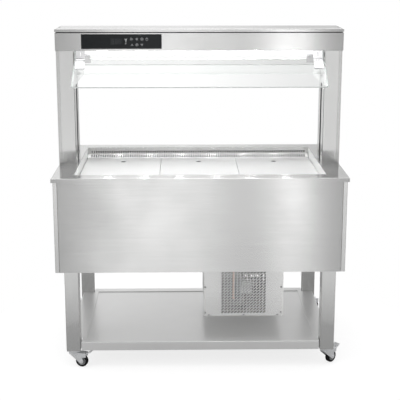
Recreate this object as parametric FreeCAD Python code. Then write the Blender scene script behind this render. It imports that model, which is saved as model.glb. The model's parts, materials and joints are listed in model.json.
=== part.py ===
import FreeCAD, Part
import os
from math import asin, cos, degrees, hypot, radians, sin, sqrt

from FreeCAD import Vector

# A refrigerated salad bar on casters: an insulated well in a steel body on four legs,
# a shelf and a condensing unit below, and a lit canopy with glass guards above.
# Millimetres.  X runs to the right, Y to the back, Z up.  The origin is on the floor,
# under the middle of the worktop.

# Sheet metal
SHEET = 1.5
THIN_SHEET = 1.2
RETURN = 15.0
BEND = 2.5

# Worktop and its cut-out for three 1/1 containers
WORKTOP_WIDTH = 1140.0
WORKTOP_DEPTH = 680.0
WORKTOP_TOP = 780.0
WORKTOP_LIP = 16.0
CUTOUT_WIDTH = 978.0
CUTOUT_DEPTH = 548.0
WORKTOP_UNDER = WORKTOP_TOP - SHEET

# Well, its foam and the floor plates
WELL_DEPTH = 600.0
WELL_FLOOR = 520.0
FOAM_SIDE = 40.0
FOAM_END = 29.0
LINER_FLANGE = 12.0
PLATE_TOP = 738.0
PLATE_PITCH = 325.0
PLATE_WIDTH = 323.5
PLATE_LENGTH = 504.0
PLATE_LIP = 15.0
FINGER_HOLE_RADIUS = 11.0
FINGER_HOLE_Y = 170.0
RAIL_WIDTH = 37.0
RAIL_WEB = 20.0

# Slotted air grilles along the front and back of the well
GRILLE_SHOULDER = 751.0
GRILLE_SLOT_WIDTH = 5.0
GRILLE_SLOT_PITCH = 10.0
GRILLE_SLOTS = 95
UPPER_SLOT = (756.0, 766.0)
LOWER_SLOT = (255.0, 271.0)

# Body
BODY_HALF_WIDTH = 564.0
BODY_HALF_DEPTH = 334.0
BODY_BOTTOM = 404.0
SIDE_FLANGE = 16.0
PANEL_GAP = 1.2

# Legs and lower shelf
LEG = 55.0
LEG_WALL = 2.0
LEG_X = 504.5
LEG_Y = 290.0
LEG_BOTTOM = 72.0
SHELF_TOP = 108.5
SHELF_BOTTOM = 73.0
SHELF_HALF_WIDTH = 523.0
SHELF_HALF_DEPTH = 314.0
SHELF_RIM = 40.0
SHELF_DISH = 3.0
SHELF_LEG_GAP = 4.0

# Posts
POST_WIDTH = 70.0
POST_DEPTH = 148.0
POST_STRIP = 13.5
POST_SLOT = 32.0
POST_LIP = 12.0
POST_SCREW_X = 523.0
POST_SCREW_Z = 797.0

# Canopy, light and control panel
CANOPY_HALF_WIDTH = 569.5
CANOPY_HALF_DEPTH = 95.5
CANOPY_BOTTOM = 1241.0
CANOPY_SHOULDER = 1311.0
CANOPY_STEP = 4.0
LID_TOP = 1327.0
LID_LIP = 12.0
LIGHT_HALF_LENGTH = 470.0
LIGHT_HALF_WIDTH = 55.0
LIGHT_DROP = 18.0
LIGHT_WALL = 2.0
LIGHT_CORNER = 8.0
LAMPS = 6
LAMP_PITCH = 155.0
LAMP_SIZE = (36.0, 14.0, 3.0)
CONTROL_X = (-466.0, -149.0)
CONTROL_Z = (1249.0, 1306.5)
CONTROL_THICKNESS = 2.0
CONTROL_MARGIN = 10.0
CONTROL_DEPTH = 8.0
BOARD_THICKNESS = 1.6
DISPLAY_X = (-356.0, -300.0)
KEY_X = (-268.0, -247.0, -226.0, -207.0)
KEY_HALF_WIDTH = 6.0

# Glass guards: end cheeks on the posts and two panes hung from the canopy
GLASS = 6.0
CHEEK_X = 490.0
CHEEK_SHOULDER_Z = 1204.0
CHEEK_BOTTOM_Z = 1108.0
CHEEK_GAP = 0.5
HINGE_Y = 98.0
HINGE_Z = 1204.0
HINGE_X = 470.0
PANE_SLOPE = 37.5
PANE_START = 26.0
PANE_LENGTH = 126.0
PANE_HALF_WIDTH = 496.0
PIN_RADIUS = 3.0
RUNNING = 0.05
CLAMP_WIDTH = 36.0
CLAMP_REACH = 50.0
KNUCKLE_RADIUS = 6.5

# Condensing unit and its housing, below the body
UNIT_X = (18.0, 340.0)
UNIT_Y = (-190.0, 190.0)
UNIT_BOTTOM = 167.5
UNIT_TOP = BODY_BOTTOM + THIN_SHEET
VENT_X = 178.0
VENT_BOTTOM = 184.5
VENT_COLUMNS = 14
VENT_ROWS = 15
VENT_PITCH_X = 13.1
VENT_PITCH_Z = 12.0
VENT_SLOT = 13.5
VENT_SLOT_WIDTH = 5.0
VENT_ANGLE = 42.0
REAR_VENT_ROWS = 13
REAR_VENT_PITCH = 15.0
REAR_VENT_HEIGHT = 7.0
REAR_VENT_HALF_LENGTH = 60.0
REAR_VENT_INSET = 85.0

# Compressor, standing on the unit's floor
POT_CENTRE = (112.0, -60.0)
POT_RADIUS = 70.0
POT_HEIGHT = 120.0
POT_DOME = 28.0
POT_SEAM = 78.0
SUCTION_Z = 222.0
BASE_HALF = (80.0, 60.0)
BASE_SHEET = 4.0
FOOT_RADIUS = 9.0
FOOT_HEIGHT = 14.0
FOOT_INSET = (10.0, 12.0)

# Fans, coils and the pipes between them
FAN_SHAFT = 3.0
FAN_BORDER = 10.0
FAN_PITCH_ANGLE = 52.0
FAN_BLADES = 5
FIN = 1.5
COIL_TUBE = 4.5
COIL_TURN = 25.0
WELL_COIL_Y = (-90.0, -30.0)
UNIT_COIL_X = (58.0, 298.0)
UNIT_COIL_Y = (112.0, 160.0)
UNIT_COIL_TOP = 385.0
COOLING_FAN_RADIUS = 58.0
COOLING_FAN_X = 170.0
COOLING_FAN_Z = 632.0
UNIT_FAN_RADIUS = 92.0
UNIT_FAN_Y = 92.0
UNIT_FAN_RISE = 112.0
DRAIN_RADIUS = 14.0
PIPE_HOLE_RADIUS = 7.0
PIPE_BEND = 7.0
SUCTION_RADIUS = 4.0
LIQUID_RADIUS = 3.0
PIPE_TURN_Z = 442.0

# Casters
WHEEL_RADIUS = 25.0
WHEEL_WIDTH = 18.0
TYRE_SHOULDER = 4.5
HUB_RECESS = (8.5, 16.0)
HUB_RECESS_DEPTH = 2.0
AXLE_RADIUS = 4.0
RIVET_RADIUS = 6.0
RIVET_HEAD = 2.0
TRAIL = 32.0
CASTER_PLATE = 3.0
KINGPIN_RADIUS = 5.0
KINGPIN_BOTTOM = 56.0
KINGPIN_HEAD_RADIUS = 8.0
KINGPIN_HEAD = 2.7
CUP_RADIUS = 19.0
CUP_GAP = 0.3
FORK_TOP = 60.0
FORK_SHEET = 3.0
FORK_HALF_WIDTH = 13.5
FORK_EYE = 9.0
FORK_CROWN = (-18.0, 46.0)
FORK_OUTLINE = [(-18.0, 60.0), (-18.0, 55.0), (24.0, 20.0), (39.0, 22.0)]
FORK_OUTLINE += [(37.0, 41.0), (52.0, 43.0), (52.0, 60.0)]
PEDAL_PIVOT = (46.0, 52.0)
PEDAL_SLOPE = 30.0
PEDAL_BARREL = 4.0
PEDAL_STUB = 2.5
PEDAL_SHEET = 3.0
PEDAL_TOE = 5.0
CASTER_TURN = {"front_left": -15.0, "front_right": 42.0, "rear_left": 160.0, "rear_right": 25.0}

# Dome-head screws
SCREW_RADIUS = 2.0
SCREW_LENGTH = 12.0
HEAD_RADIUS = 4.0
HEAD_HEIGHT = 2.2
HOLE_RADIUS = 2.1

ORIGIN = Vector(0, 0, 0)
X_AXIS = Vector(1, 0, 0)
Y_AXIS = Vector(0, 1, 0)
Z_AXIS = Vector(0, 0, 1)
CORNERS = {"front_left": (-1, -1), "front_right": (1, -1), "rear_left": (-1, 1), "rear_right": (1, 1)}


# Shapes that several parts share

def box(x, y, z):
    """A block between the two ends given along each axis."""
    size = (x[1] - x[0], y[1] - y[0], z[1] - z[0])
    return Part.makeBox(*size, Vector(x[0], y[0], z[0]))


def rod(centre, radius, length, axis):
    """A cylinder whose middle is at a centre."""
    start = centre - axis * (length / 2)
    return Part.makeCylinder(radius, length, start, axis)


def fuse(shapes):
    """Several touching shapes as one clean solid."""
    return shapes[0].multiFuse(shapes[1:]).removeSplitter()


def mirrored_x(shape):
    """The same shape on the other side of the middle plane X = 0."""
    return shape.mirror(ORIGIN, X_AXIS)


def mirrored_y(shape):
    """The same shape at the other side of the middle plane Y = 0."""
    return shape.mirror(ORIGIN, Y_AXIS)


def rounded(shape, radius, chosen):
    """Round the edges whose end points all pass a test."""
    edges = [edge for edge in shape.Edges if all(chosen(v.Point) for v in edge.Vertexes)]
    return shape.makeFillet(radius, edges)


def prism_yz(outline, x):
    """A YZ outline carried along X between two ends."""
    points = [Vector(x[0], y, z) for y, z in outline]
    face = Part.Face(Part.makePolygon(points + points[:1]))
    return face.extrude(Vector(x[1] - x[0], 0, 0))


def prism_xz(outline, y):
    """An XZ outline carried along Y between two ends."""
    points = [Vector(x, y[0], z) for x, z in outline]
    face = Part.Face(Part.makePolygon(points + points[:1]))
    return face.extrude(Vector(0, y[1] - y[0], 0))


def folded_sheet(path, thickness, x):
    """A strip of sheet bent along a YZ path, its thickness on the path's left."""
    normals = []
    for (y0, z0), (y1, z1) in zip(path, path[1:]):
        length = hypot(y1 - y0, z1 - z0)
        normals.append(((z0 - z1) / length, (y1 - y0) / length))
    offset = []
    for i, (y, z) in enumerate(path):
        before = normals[max(i - 1, 0)]
        after = normals[min(i, len(normals) - 1)]
        reach = thickness / (1 + before[0] * after[0] + before[1] * after[1])
        offset.append((y + reach * (before[0] + after[0]), z + reach * (before[1] + after[1])))
    return prism_yz(path + offset[::-1], x)


def screw(place, out):
    """A dome-head screw: its head stands on a surface at a place and looks along out."""
    ball = (HEAD_RADIUS ** 2 + HEAD_HEIGHT ** 2) / (2 * HEAD_HEIGHT)
    latitude = degrees(asin((ball - HEAD_HEIGHT) / ball))
    head = Part.makeSphere(ball, place + out * (HEAD_HEIGHT - ball), out, latitude, 90, 360)
    shank = Part.makeCylinder(SCREW_RADIUS, SCREW_LENGTH, place - out * SCREW_LENGTH, out)
    return head.fuse(shank).removeSplitter()


def drill(shape, places, axis):
    """Screw holes through a sheet at each place."""
    holes = [rod(place, HOLE_RADIUS, 2 * SCREW_LENGTH, axis) for place in places]
    return shape.cut(Part.makeCompound(holes))


def save(node, shape):
    """Write one part of the salad bar."""
    shape.exportStep("parts/" + node + ".step")


# Worktop, well and body

def worktop():
    """The pressed worktop: a tray with a turned-down lip and the cut-out of the well."""
    half_x = WORKTOP_WIDTH / 2
    half_y = WORKTOP_DEPTH / 2
    bottom = WORKTOP_TOP - WORKTOP_LIP
    outer = box((-half_x, half_x), (-half_y, half_y), (bottom, WORKTOP_TOP))
    outer = rounded(outer, BEND, lambda p: p.z > WORKTOP_TOP - 1)
    inner = box((SHEET - half_x, half_x - SHEET), (SHEET - half_y, half_y - SHEET), (bottom, WORKTOP_UNDER))
    cut_x = CUTOUT_WIDTH / 2
    cut_y = CUTOUT_DEPTH / 2
    cutout = box((-cut_x, cut_x), (-cut_y, cut_y), (bottom, WORKTOP_TOP + 1))
    return outer.cut(inner).cut(cutout)


def drain_place():
    """Where the drain leaves the well's floor, above the condensing unit."""
    return Vector(60, 40, WELL_FLOOR)


def pipe_places():
    """Where the two refrigerant pipes pass through the floor of the well."""
    return [Vector(120, -108, WELL_FLOOR), Vector(150, -108, WELL_FLOOR)]


def liner_block(extra):
    """The outside of the well's tub, grown by an amount on its sides and floor."""
    half_x = CUTOUT_WIDTH / 2 + extra
    half_y = WELL_DEPTH / 2 + extra
    return box((-half_x, half_x), (-half_y, half_y), (WELL_FLOOR - extra, WORKTOP_UNDER))


def well_liner():
    """The deep-drawn tub, its flange under the worktop and two rails for the floor plates."""
    half_x = CUTOUT_WIDTH / 2 + THIN_SHEET + LINER_FLANGE
    half_y = WELL_DEPTH / 2 + THIN_SHEET + LINER_FLANGE
    flange = box((-half_x, half_x), (-half_y, half_y), (WORKTOP_UNDER - THIN_SHEET, WORKTOP_UNDER))
    tub = fuse([liner_block(THIN_SHEET), flange]).cut(liner_block(0))
    rail_top = PLATE_TOP - PLATE_LIP
    rail_end = PLATE_LENGTH / 2 + 10
    fold = rail_end - RAIL_WIDTH
    rail_path = [(rail_end, rail_top), (fold, rail_top), (fold, rail_top - RAIL_WEB)]
    rail = folded_sheet(rail_path, SHEET, (-CUTOUT_WIDTH / 2, CUTOUT_WIDTH / 2))
    tub = fuse([tub, rail, mirrored_y(rail)])
    holes = [rod(drain_place(), DRAIN_RADIUS, 10, Z_AXIS)]
    holes += [rod(place, PIPE_HOLE_RADIUS, 10, Z_AXIS) for place in pipe_places()]
    return tub.cut(Part.makeCompound(holes))


def insulation():
    """The foam between the tub and the outer panels."""
    half_x = CUTOUT_WIDTH / 2 + FOAM_SIDE
    half_y = WELL_DEPTH / 2 + FOAM_END
    bottom = WELL_FLOOR - FOAM_SIDE
    block = box((-half_x, half_x), (-half_y, half_y), (bottom, WORKTOP_TOP - WORKTOP_LIP))
    block = block.cut(liner_block(THIN_SHEET))
    through = 2 * FOAM_SIDE + 10
    holes = [rod(drain_place(), DRAIN_RADIUS, through, Z_AXIS)]
    holes += [rod(place, PIPE_HOLE_RADIUS, through, Z_AXIS) for place in pipe_places()]
    return block.cut(Part.makeCompound(holes))


def air_grille():
    """The folded grille at the back of the well: upper slots in its wall, lower in its slope."""
    wall = CUTOUT_DEPTH / 2
    foot = PLATE_LENGTH / 2 + 1
    path = [(foot, PLATE_TOP - PLATE_LIP), (foot, PLATE_TOP), (wall, GRILLE_SHOULDER)]
    path += [(wall, WORKTOP_UNDER), (wall + LINER_FLANGE, WORKTOP_UNDER)]
    half_x = CUTOUT_WIDTH / 2
    sheet = folded_sheet(path[::-1], THIN_SHEET, (-half_x, half_x))
    slots = []
    for i in range(GRILLE_SLOTS):
        middle = (i - (GRILLE_SLOTS - 1) / 2) * GRILLE_SLOT_PITCH
        x = (middle - GRILLE_SLOT_WIDTH / 2, middle + GRILLE_SLOT_WIDTH / 2)
        slots.append(box(x, (wall - 3, wall + 5), UPPER_SLOT))
        slots.append(box(x, LOWER_SLOT, (PLATE_TOP - 3, GRILLE_SHOULDER + 1)))
    return sheet.cut(Part.makeCompound(slots))


def floor_plate(number):
    """One lift-out floor plate, a shallow tray upside down with a finger hole."""
    middle = number * PLATE_PITCH
    x = (middle - PLATE_WIDTH / 2, middle + PLATE_WIDTH / 2)
    y = (-PLATE_LENGTH / 2, PLATE_LENGTH / 2)
    outer = box(x, y, (PLATE_TOP - PLATE_LIP, PLATE_TOP))
    outer = rounded(outer, BEND, lambda p: p.z > PLATE_TOP - 1)
    inner_x = (x[0] + THIN_SHEET, x[1] - THIN_SHEET)
    inner_y = (y[0] + THIN_SHEET, y[1] - THIN_SHEET)
    inner = box(inner_x, inner_y, (PLATE_TOP - PLATE_LIP, PLATE_TOP - THIN_SHEET))
    hole = rod(Vector(middle, FINGER_HOLE_Y, PLATE_TOP), FINGER_HOLE_RADIUS, 2 * PLATE_LIP, Z_AXIS)
    return outer.cut(inner).cut(hole)


def front_panel():
    """The front panel, between the side panels' flanges, with returns at top and bottom."""
    face = -BODY_HALF_DEPTH
    back = face + RETURN
    half_x = BODY_HALF_WIDTH - SIDE_FLANGE - PANEL_GAP
    path = [(back, WORKTOP_UNDER), (face, WORKTOP_UNDER), (face, BODY_BOTTOM), (back, BODY_BOTTOM)]
    return folded_sheet(path, THIN_SHEET, (-half_x, half_x))


def side_panel():
    """The right side panel, with a flange on all four edges."""
    x = (BODY_HALF_WIDTH - SIDE_FLANGE, BODY_HALF_WIDTH)
    y = (-BODY_HALF_DEPTH, BODY_HALF_DEPTH)
    outer = box(x, y, (BODY_BOTTOM, WORKTOP_UNDER))
    outer = rounded(outer, BEND, lambda p: p.x > x[1] - 1)
    inner_y = (y[0] + THIN_SHEET, y[1] - THIN_SHEET)
    inner_z = (BODY_BOTTOM + THIN_SHEET, WORKTOP_UNDER - THIN_SHEET)
    return outer.cut(box((x[0], x[1] - THIN_SHEET), inner_y, inner_z))


def bottom_panel():
    """The floor of the body, lying on the panels' returns, open above the condensing unit."""
    half_x = BODY_HALF_WIDTH - THIN_SHEET
    half_y = BODY_HALF_DEPTH - THIN_SHEET
    z = (BODY_BOTTOM + THIN_SHEET, BODY_BOTTOM + 2 * THIN_SHEET)
    sheet = box((-half_x, half_x), (-half_y, half_y), z)
    opening = box((UNIT_X[0] + 22, UNIT_X[1] - 22), (-150, 150), (BODY_BOTTOM, BODY_BOTTOM + RETURN))
    return sheet.cut(opening)


def drain_pipe():
    """The drain: a flanged tube from the well's floor down into the unit's housing."""
    top = drain_place()
    length = WELL_FLOOR - 340
    tube = Part.makeCylinder(13, length, top - Z_AXIS * length)
    flange = Part.makeCylinder(22, 2, top)
    bore = Part.makeCylinder(11, length + 2, top - Z_AXIS * length)
    return tube.fuse(flange).removeSplitter().cut(bore)


# Legs and lower shelf

def leg(corner):
    """A square tube leg up to the floor of the body."""
    side, end = CORNERS[corner]
    z = (LEG_BOTTOM, BODY_BOTTOM + THIN_SHEET)
    half = LEG / 2
    core = half - LEG_WALL
    tube = box((-half, half), (-half, half), z)
    uprights = [edge for edge in tube.Edges if abs(edge.tangentAt(0).z) > 0.9]
    tube = tube.makeFillet(BEND, uprights)
    tube = tube.cut(box((-core, core), (-core, core), z))
    tube.translate(Vector(side * LEG_X, end * LEG_Y, 0))
    return tube


def lower_shelf():
    """The dished shelf: a flat rim, a sunk middle and a lip folded down all round."""
    half_x = SHELF_HALF_WIDTH
    half_y = SHELF_HALF_DEPTH
    outer = box((-half_x, half_x), (-half_y, half_y), (SHELF_BOTTOM, SHELF_TOP))
    outer = rounded(outer, BEND, lambda p: p.z > SHELF_TOP - 1)
    under = SHELF_TOP - SHEET
    inner = box((SHEET - half_x, half_x - SHEET), (SHEET - half_y, half_y - SHEET), (SHELF_BOTTOM, under))
    shelf = outer.cut(inner)
    dish_x = half_x - SHELF_RIM - LEG / 2
    dish_y = half_y - SHELF_RIM
    floor = box((-dish_x, dish_x), (-dish_y, dish_y), (under - SHELF_DISH, SHELF_TOP - SHELF_DISH))
    wall_top = box((-dish_x, dish_x), (-dish_y, dish_y), (SHELF_TOP - SHELF_DISH, SHELF_TOP + 1))
    web_x = (-dish_x - SHEET, dish_x + SHEET)
    web_y = (-dish_y - SHEET, dish_y + SHEET)
    web = box(web_x, web_y, (under - SHELF_DISH, under))
    shelf = fuse([shelf, web, floor]).cut(wall_top)
    reach = LEG / 2 + SHELF_LEG_GAP
    notches = []
    for side, end in CORNERS.values():
        inside = side * (LEG_X - reach)
        outside = side * (half_x + 1)
        y_inside = end * (LEG_Y - LEG / 2)
        y_outside = end * (half_y + 1)
        x = (min(inside, outside), max(inside, outside))
        y = (min(y_inside, y_outside), max(y_inside, y_outside))
        notches.append(box(x, y, (SHELF_BOTTOM - 1, SHELF_TOP + 1)))
    return shelf.cut(Part.makeCompound(notches))


# Posts and canopy

def post_screw_places(side):
    """Screws low on the front and back faces of a post."""
    face = POST_DEPTH / 2 - THIN_SHEET
    return [Vector(side * POST_SCREW_X, end * face, POST_SCREW_Z) for end in (-1, 1)]


def post():
    """The right post: a lipped channel that stands on the worktop, open towards the middle."""
    inner_face = WORKTOP_WIDTH / 2 - POST_WIDTH
    outer_face = WORKTOP_WIDTH / 2 - THIN_SHEET
    half = POST_DEPTH / 2 - THIN_SHEET
    z = (WORKTOP_TOP, CANOPY_BOTTOM)
    block = box((inner_face, outer_face), (-half, half), z)
    uprights = [edge for edge in block.Edges if abs(edge.tangentAt(0).z) > 0.9]
    block = block.makeFillet(BEND, uprights)
    core = box((inner_face + SHEET, outer_face - SHEET), (SHEET - half, half - SHEET), z)
    slot_half = POST_SLOT / 2
    slot = box((inner_face - 1, inner_face + SHEET), (-slot_half, slot_half), z)
    channel = block.cut(core).cut(slot)
    edge = box((inner_face, inner_face + POST_LIP), (slot_half, slot_half + SHEET), z)
    channel = fuse([channel, edge, mirrored_y(edge)])
    channel = drill(channel, post_screw_places(1), Y_AXIS)
    return drill(channel, [place + X_AXIS * 10 for place in cheek_screw_places(1)], X_AXIS)


def post_cover():
    """The right post's outer cover, folded round its front and back edges."""
    outer = WORKTOP_WIDTH / 2
    half = POST_DEPTH / 2
    z = (WORKTOP_TOP, CANOPY_BOTTOM)
    block = box((outer - POST_STRIP, outer), (-half, half), z)
    corners = [e for e in block.Edges if abs(e.tangentAt(0).z) > 0.9 and e.CenterOfMass.x > outer - 1]
    block = block.makeFillet(BEND, corners)
    core = box((outer - POST_STRIP, outer - THIN_SHEET), (THIN_SHEET - half, half - THIN_SHEET), z)
    return block.cut(core)


def lid_screw_places():
    """The two screws in the top of the lid, one at each end."""
    return [Vector(side * 561, 0, LID_TOP) for side in (-1, 1)]


def canopy_shell():
    """The canopy's folded box: a stepped rim for the lid, and cut-outs for light and controls."""
    half_x = CANOPY_HALF_WIDTH
    half_y = CANOPY_HALF_DEPTH
    outer = box((-half_x, half_x), (-half_y, half_y), (CANOPY_BOTTOM, CANOPY_SHOULDER))
    outer = rounded(outer, BEND, lambda p: p.z < CANOPY_BOTTOM + 1)
    rim_x = half_x - CANOPY_STEP
    rim_y = half_y - CANOPY_STEP
    rim = box((-rim_x, rim_x), (-rim_y, rim_y), (CANOPY_SHOULDER, LID_TOP - THIN_SHEET))
    lower = box(
        (THIN_SHEET - half_x, half_x - THIN_SHEET), (THIN_SHEET - half_y, half_y - THIN_SHEET),
        (CANOPY_BOTTOM + THIN_SHEET, CANOPY_SHOULDER - THIN_SHEET))
    upper = box(
        (THIN_SHEET - rim_x, rim_x - THIN_SHEET), (THIN_SHEET - rim_y, rim_y - THIN_SHEET),
        (CANOPY_BOTTOM + THIN_SHEET, LID_TOP))
    shell = fuse([outer, rim]).cut(lower).cut(upper)
    light_x = LIGHT_HALF_LENGTH - 12
    light_y = LIGHT_HALF_WIDTH - 12
    light = box((-light_x, light_x), (-light_y, light_y), (CANOPY_BOTTOM - 1, CANOPY_BOTTOM + 3))
    panel_x = (CONTROL_X[0] + CONTROL_MARGIN, CONTROL_X[1] - CONTROL_MARGIN)
    panel_z = (CONTROL_Z[0] + CONTROL_MARGIN, CONTROL_Z[1] - CONTROL_MARGIN)
    window = box(panel_x, (-half_y - 1, 3 - half_y), panel_z)
    ears = []
    for side in (-1, 1):
        x = sorted((side * (rim_x - 16), side * rim_x))
        ears.append(box(x, (-15, 15), (LID_TOP - 2 * THIN_SHEET, LID_TOP - THIN_SHEET)))
    shell = fuse([shell.cut(light).cut(window)] + ears)
    shell = drill(shell, lid_screw_places(), Z_AXIS)
    bracket_holes = [place for side in (-1, 1) for end in (-1, 1) for place in bracket_screws(side, end)]
    return drill(shell, bracket_holes, Z_AXIS)


def canopy_lid():
    """The flat lid with its lip, standing a little clear of the shell's shoulder."""
    half_x = WORKTOP_WIDTH / 2
    half_y = CANOPY_HALF_DEPTH + 1
    outer = box((-half_x, half_x), (-half_y, half_y), (LID_TOP - LID_LIP, LID_TOP))
    outer = rounded(outer, BEND, lambda p: p.z > LID_TOP - 1)
    inner = box(
        (THIN_SHEET - half_x, half_x - THIN_SHEET), (THIN_SHEET - half_y, half_y - THIN_SHEET),
        (LID_TOP - LID_LIP, LID_TOP - THIN_SHEET))
    return drill(outer.cut(inner), lid_screw_places(), Z_AXIS)


def led_diffuser():
    """The opal trough of the light, closed at its ends, under the canopy."""
    half_x = LIGHT_HALF_LENGTH
    half_y = LIGHT_HALF_WIDTH
    bottom = CANOPY_BOTTOM - LIGHT_DROP
    outer = box((-half_x, half_x), (-half_y, half_y), (bottom, CANOPY_BOTTOM))
    outer = rounded(outer, LIGHT_CORNER, lambda p: p.z < bottom + 1)
    wall = LIGHT_WALL
    inner_x = (wall - half_x, half_x - wall)
    inner_y = (wall - half_y, half_y - wall)
    inner = box(inner_x, inner_y, (bottom + wall, CANOPY_BOTTOM))
    inner = rounded(inner, LIGHT_CORNER - wall, lambda p: p.z < bottom + wall + 1)
    return outer.cut(inner)


def led_strip():
    """The aluminium bar with its row of lamps, lying over the light's cut-out."""
    top = CANOPY_BOTTOM + THIN_SHEET
    half_x = LIGHT_HALF_LENGTH - 30
    length, width, height = LAMP_SIZE
    bar = box((-half_x, half_x), (1 - LIGHT_HALF_WIDTH, LIGHT_HALF_WIDTH - 1), (top, top + 3))
    lamps = []
    for i in range(LAMPS):
        middle = (i - (LAMPS - 1) / 2) * LAMP_PITCH
        lamp = box((middle - length / 2, middle + length / 2), (-width / 2, width / 2), (top - height, top))
        lamps.append(lamp)
    return fuse([bar] + lamps)


def control_panel():
    """The glass front of the touch controller, on the canopy's front face."""
    y = (-CANOPY_HALF_DEPTH - CONTROL_THICKNESS, -CANOPY_HALF_DEPTH)
    plate = box(CONTROL_X, y, CONTROL_Z)
    return rounded(plate, 0.6, lambda p: p.y < y[0] + 0.1)


def control_board():
    """The controller's board with its display and key blocks, behind the glass front."""
    inset = CONTROL_MARGIN + 2
    x = (CONTROL_X[0] + inset, CONTROL_X[1] - inset)
    z = (CONTROL_Z[0] + inset, CONTROL_Z[1] - inset)
    face = -CANOPY_HALF_DEPTH
    back = face + CONTROL_DEPTH
    board = box(x, (back, back + BOARD_THICKNESS), z)
    display = box(DISPLAY_X, (face, back), z)
    keys = [box((centre - KEY_HALF_WIDTH, centre + KEY_HALF_WIDTH), (face, back), z) for centre in KEY_X]
    return fuse([board, display] + keys)


# Glass guards

def cheek_screw_places(side):
    """Four fixings of an end cheek, two on each side of the post's slot."""
    return [Vector(side * CHEEK_X, y, z) for y in (-44, 44) for z in (1134, 1222)]


def guard_cheek():
    """The right end cheek: a glass plate that widens from the post's depth to the panes' feet."""
    upper = POST_DEPTH / 2
    foot_y, foot_z = pane_point(PANE_START + PANE_LENGTH - 8, -GLASS / 2 - CHEEK_GAP)
    head_y, head_z = pane_point(CHEEK_GAP + 18, -GLASS / 2 - CHEEK_GAP)
    right = [(upper, CANOPY_BOTTOM), (upper, CHEEK_SHOULDER_Z), (head_y, head_z)]
    right += [(foot_y, foot_z), (foot_y - 6, CHEEK_BOTTOM_Z)]
    outline = right + [(-y, z) for y, z in right[::-1]]
    plate = prism_yz(outline, (CHEEK_X, CHEEK_X + GLASS))
    return drill(plate, cheek_screw_places(1), X_AXIS)


def cheek_spacer(place, side):
    """A round spacer between a cheek and its post, bored for the screw."""
    length = WORKTOP_WIDTH / 2 - POST_WIDTH - CHEEK_X - GLASS
    start = Vector(side * (CHEEK_X + GLASS), place.y, place.z)
    axis = X_AXIS * side
    return Part.makeCylinder(8, length, start, axis).cut(Part.makeCylinder(HOLE_RADIUS, length, start, axis))


def pane_point(along, above):
    """A YZ point on the back pane, measured from its hinge down the slope and off its middle."""
    slope = radians(PANE_SLOPE)
    y = HINGE_Y + along * cos(slope) + above * sin(slope)
    z = HINGE_Z - along * sin(slope) + above * cos(slope)
    return y, z


def guard_pane():
    """The back pane: a sloping sheet of glass across the whole opening."""
    first = PANE_START
    last = PANE_START + PANE_LENGTH
    half = GLASS / 2
    corners = [(first, -half), (last, -half), (last, half), (first, half)]
    outline = [pane_point(along, above) for along, above in corners]
    pane = prism_yz(outline, (-PANE_HALF_WIDTH, PANE_HALF_WIDTH))
    return pane.makeFillet(1.0, [edge for edge in pane.Edges if edge.Length > PANE_LENGTH + 1])


def guard_clamp(side):
    """A clamp on the back pane's top edge, with its two knuckles and the hinge pin."""
    middle = side * HINGE_X
    half = CLAMP_WIDTH / 2
    gap = 0.3
    barrel_half = CLAMP_WIDTH / 6 + gap
    centre = Vector(middle, HINGE_Y, HINGE_Z)
    start = KNUCKLE_RADIUS - 1
    jaw = GLASS / 2 + 3
    outline = [pane_point(start, -jaw), pane_point(CLAMP_REACH, -jaw), pane_point(CLAMP_REACH, jaw),
               pane_point(start, jaw)]
    block = prism_yz(outline, (middle - half, middle + half))
    glass = [pane_point(PANE_START, -GLASS / 2), pane_point(CLAMP_REACH + 1, -GLASS / 2),
             pane_point(CLAMP_REACH + 1, GLASS / 2), pane_point(PANE_START, GLASS / 2)]
    block = block.cut(prism_yz(glass, (middle - half, middle + half)))
    barrel = rod(centre, KNUCKLE_RADIUS, CLAMP_WIDTH, X_AXIS)
    clamp = fuse([block, barrel])
    clamp = clamp.cut(rod(centre, KNUCKLE_RADIUS + 2 * gap, 2 * barrel_half, X_AXIS))
    return fuse([clamp, rod(centre, PIN_RADIUS, CLAMP_WIDTH, X_AXIS)])


def bracket_screws(side, end):
    """The two screws that hold a hinge bracket to the underside of the canopy."""
    return [Vector(side * HINGE_X + offset, end * 73, CANOPY_BOTTOM - 3) for offset in (-11, 11)]


def guard_bracket(side):
    """The fixed half of a back hinge: a plate under the canopy and a barrel round the pin."""
    middle = side * HINGE_X
    half = CLAMP_WIDTH / 2
    third = CLAMP_WIDTH / 6
    back = HINGE_Y - 12
    face = HINGE_Y - 8
    flange = box((middle - half, middle + half), (60, face), (CANOPY_BOTTOM - 3, CANOPY_BOTTOM))
    plate = box((middle - half, middle + half), (back, face), (HINGE_Z + KNUCKLE_RADIUS + 1, CANOPY_BOTTOM))
    slot = box((middle - 1.5, middle + 1.5), (back, face), (HINGE_Z + 15, HINGE_Z + 31))
    stem = box((middle - third, middle + third), (back, HINGE_Y), (HINGE_Z - 3, HINGE_Z + KNUCKLE_RADIUS))
    neck = box((middle - third, middle + third), (back, face), (HINGE_Z, HINGE_Z + 12))
    centre = Vector(middle, HINGE_Y, HINGE_Z)
    barrel = rod(centre, KNUCKLE_RADIUS, 2 * third, X_AXIS)
    bracket = fuse([flange, plate, stem, neck, barrel]).cut(slot)
    bracket = bracket.cut(rod(centre, PIN_RADIUS + RUNNING, CLAMP_WIDTH, X_AXIS))
    return drill(bracket, bracket_screws(side, 1), Z_AXIS)


# Condensing unit

def unit_screw_places():
    """The screws round the unit's front cover: three along the bottom and two up each side."""
    left = UNIT_X[0] + 4
    right = UNIT_X[1] - 9
    low = UNIT_BOTTOM + 4
    face = UNIT_Y[0]
    middle = (UNIT_X[0] + UNIT_X[1]) / 2
    places = [(left + 15, low), (middle, low), (right - 14, low)]
    places += [(left, 182), (left, 291), (right, 182), (right, 291)]
    return [Vector(x, face, z) for x, z in places]


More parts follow.
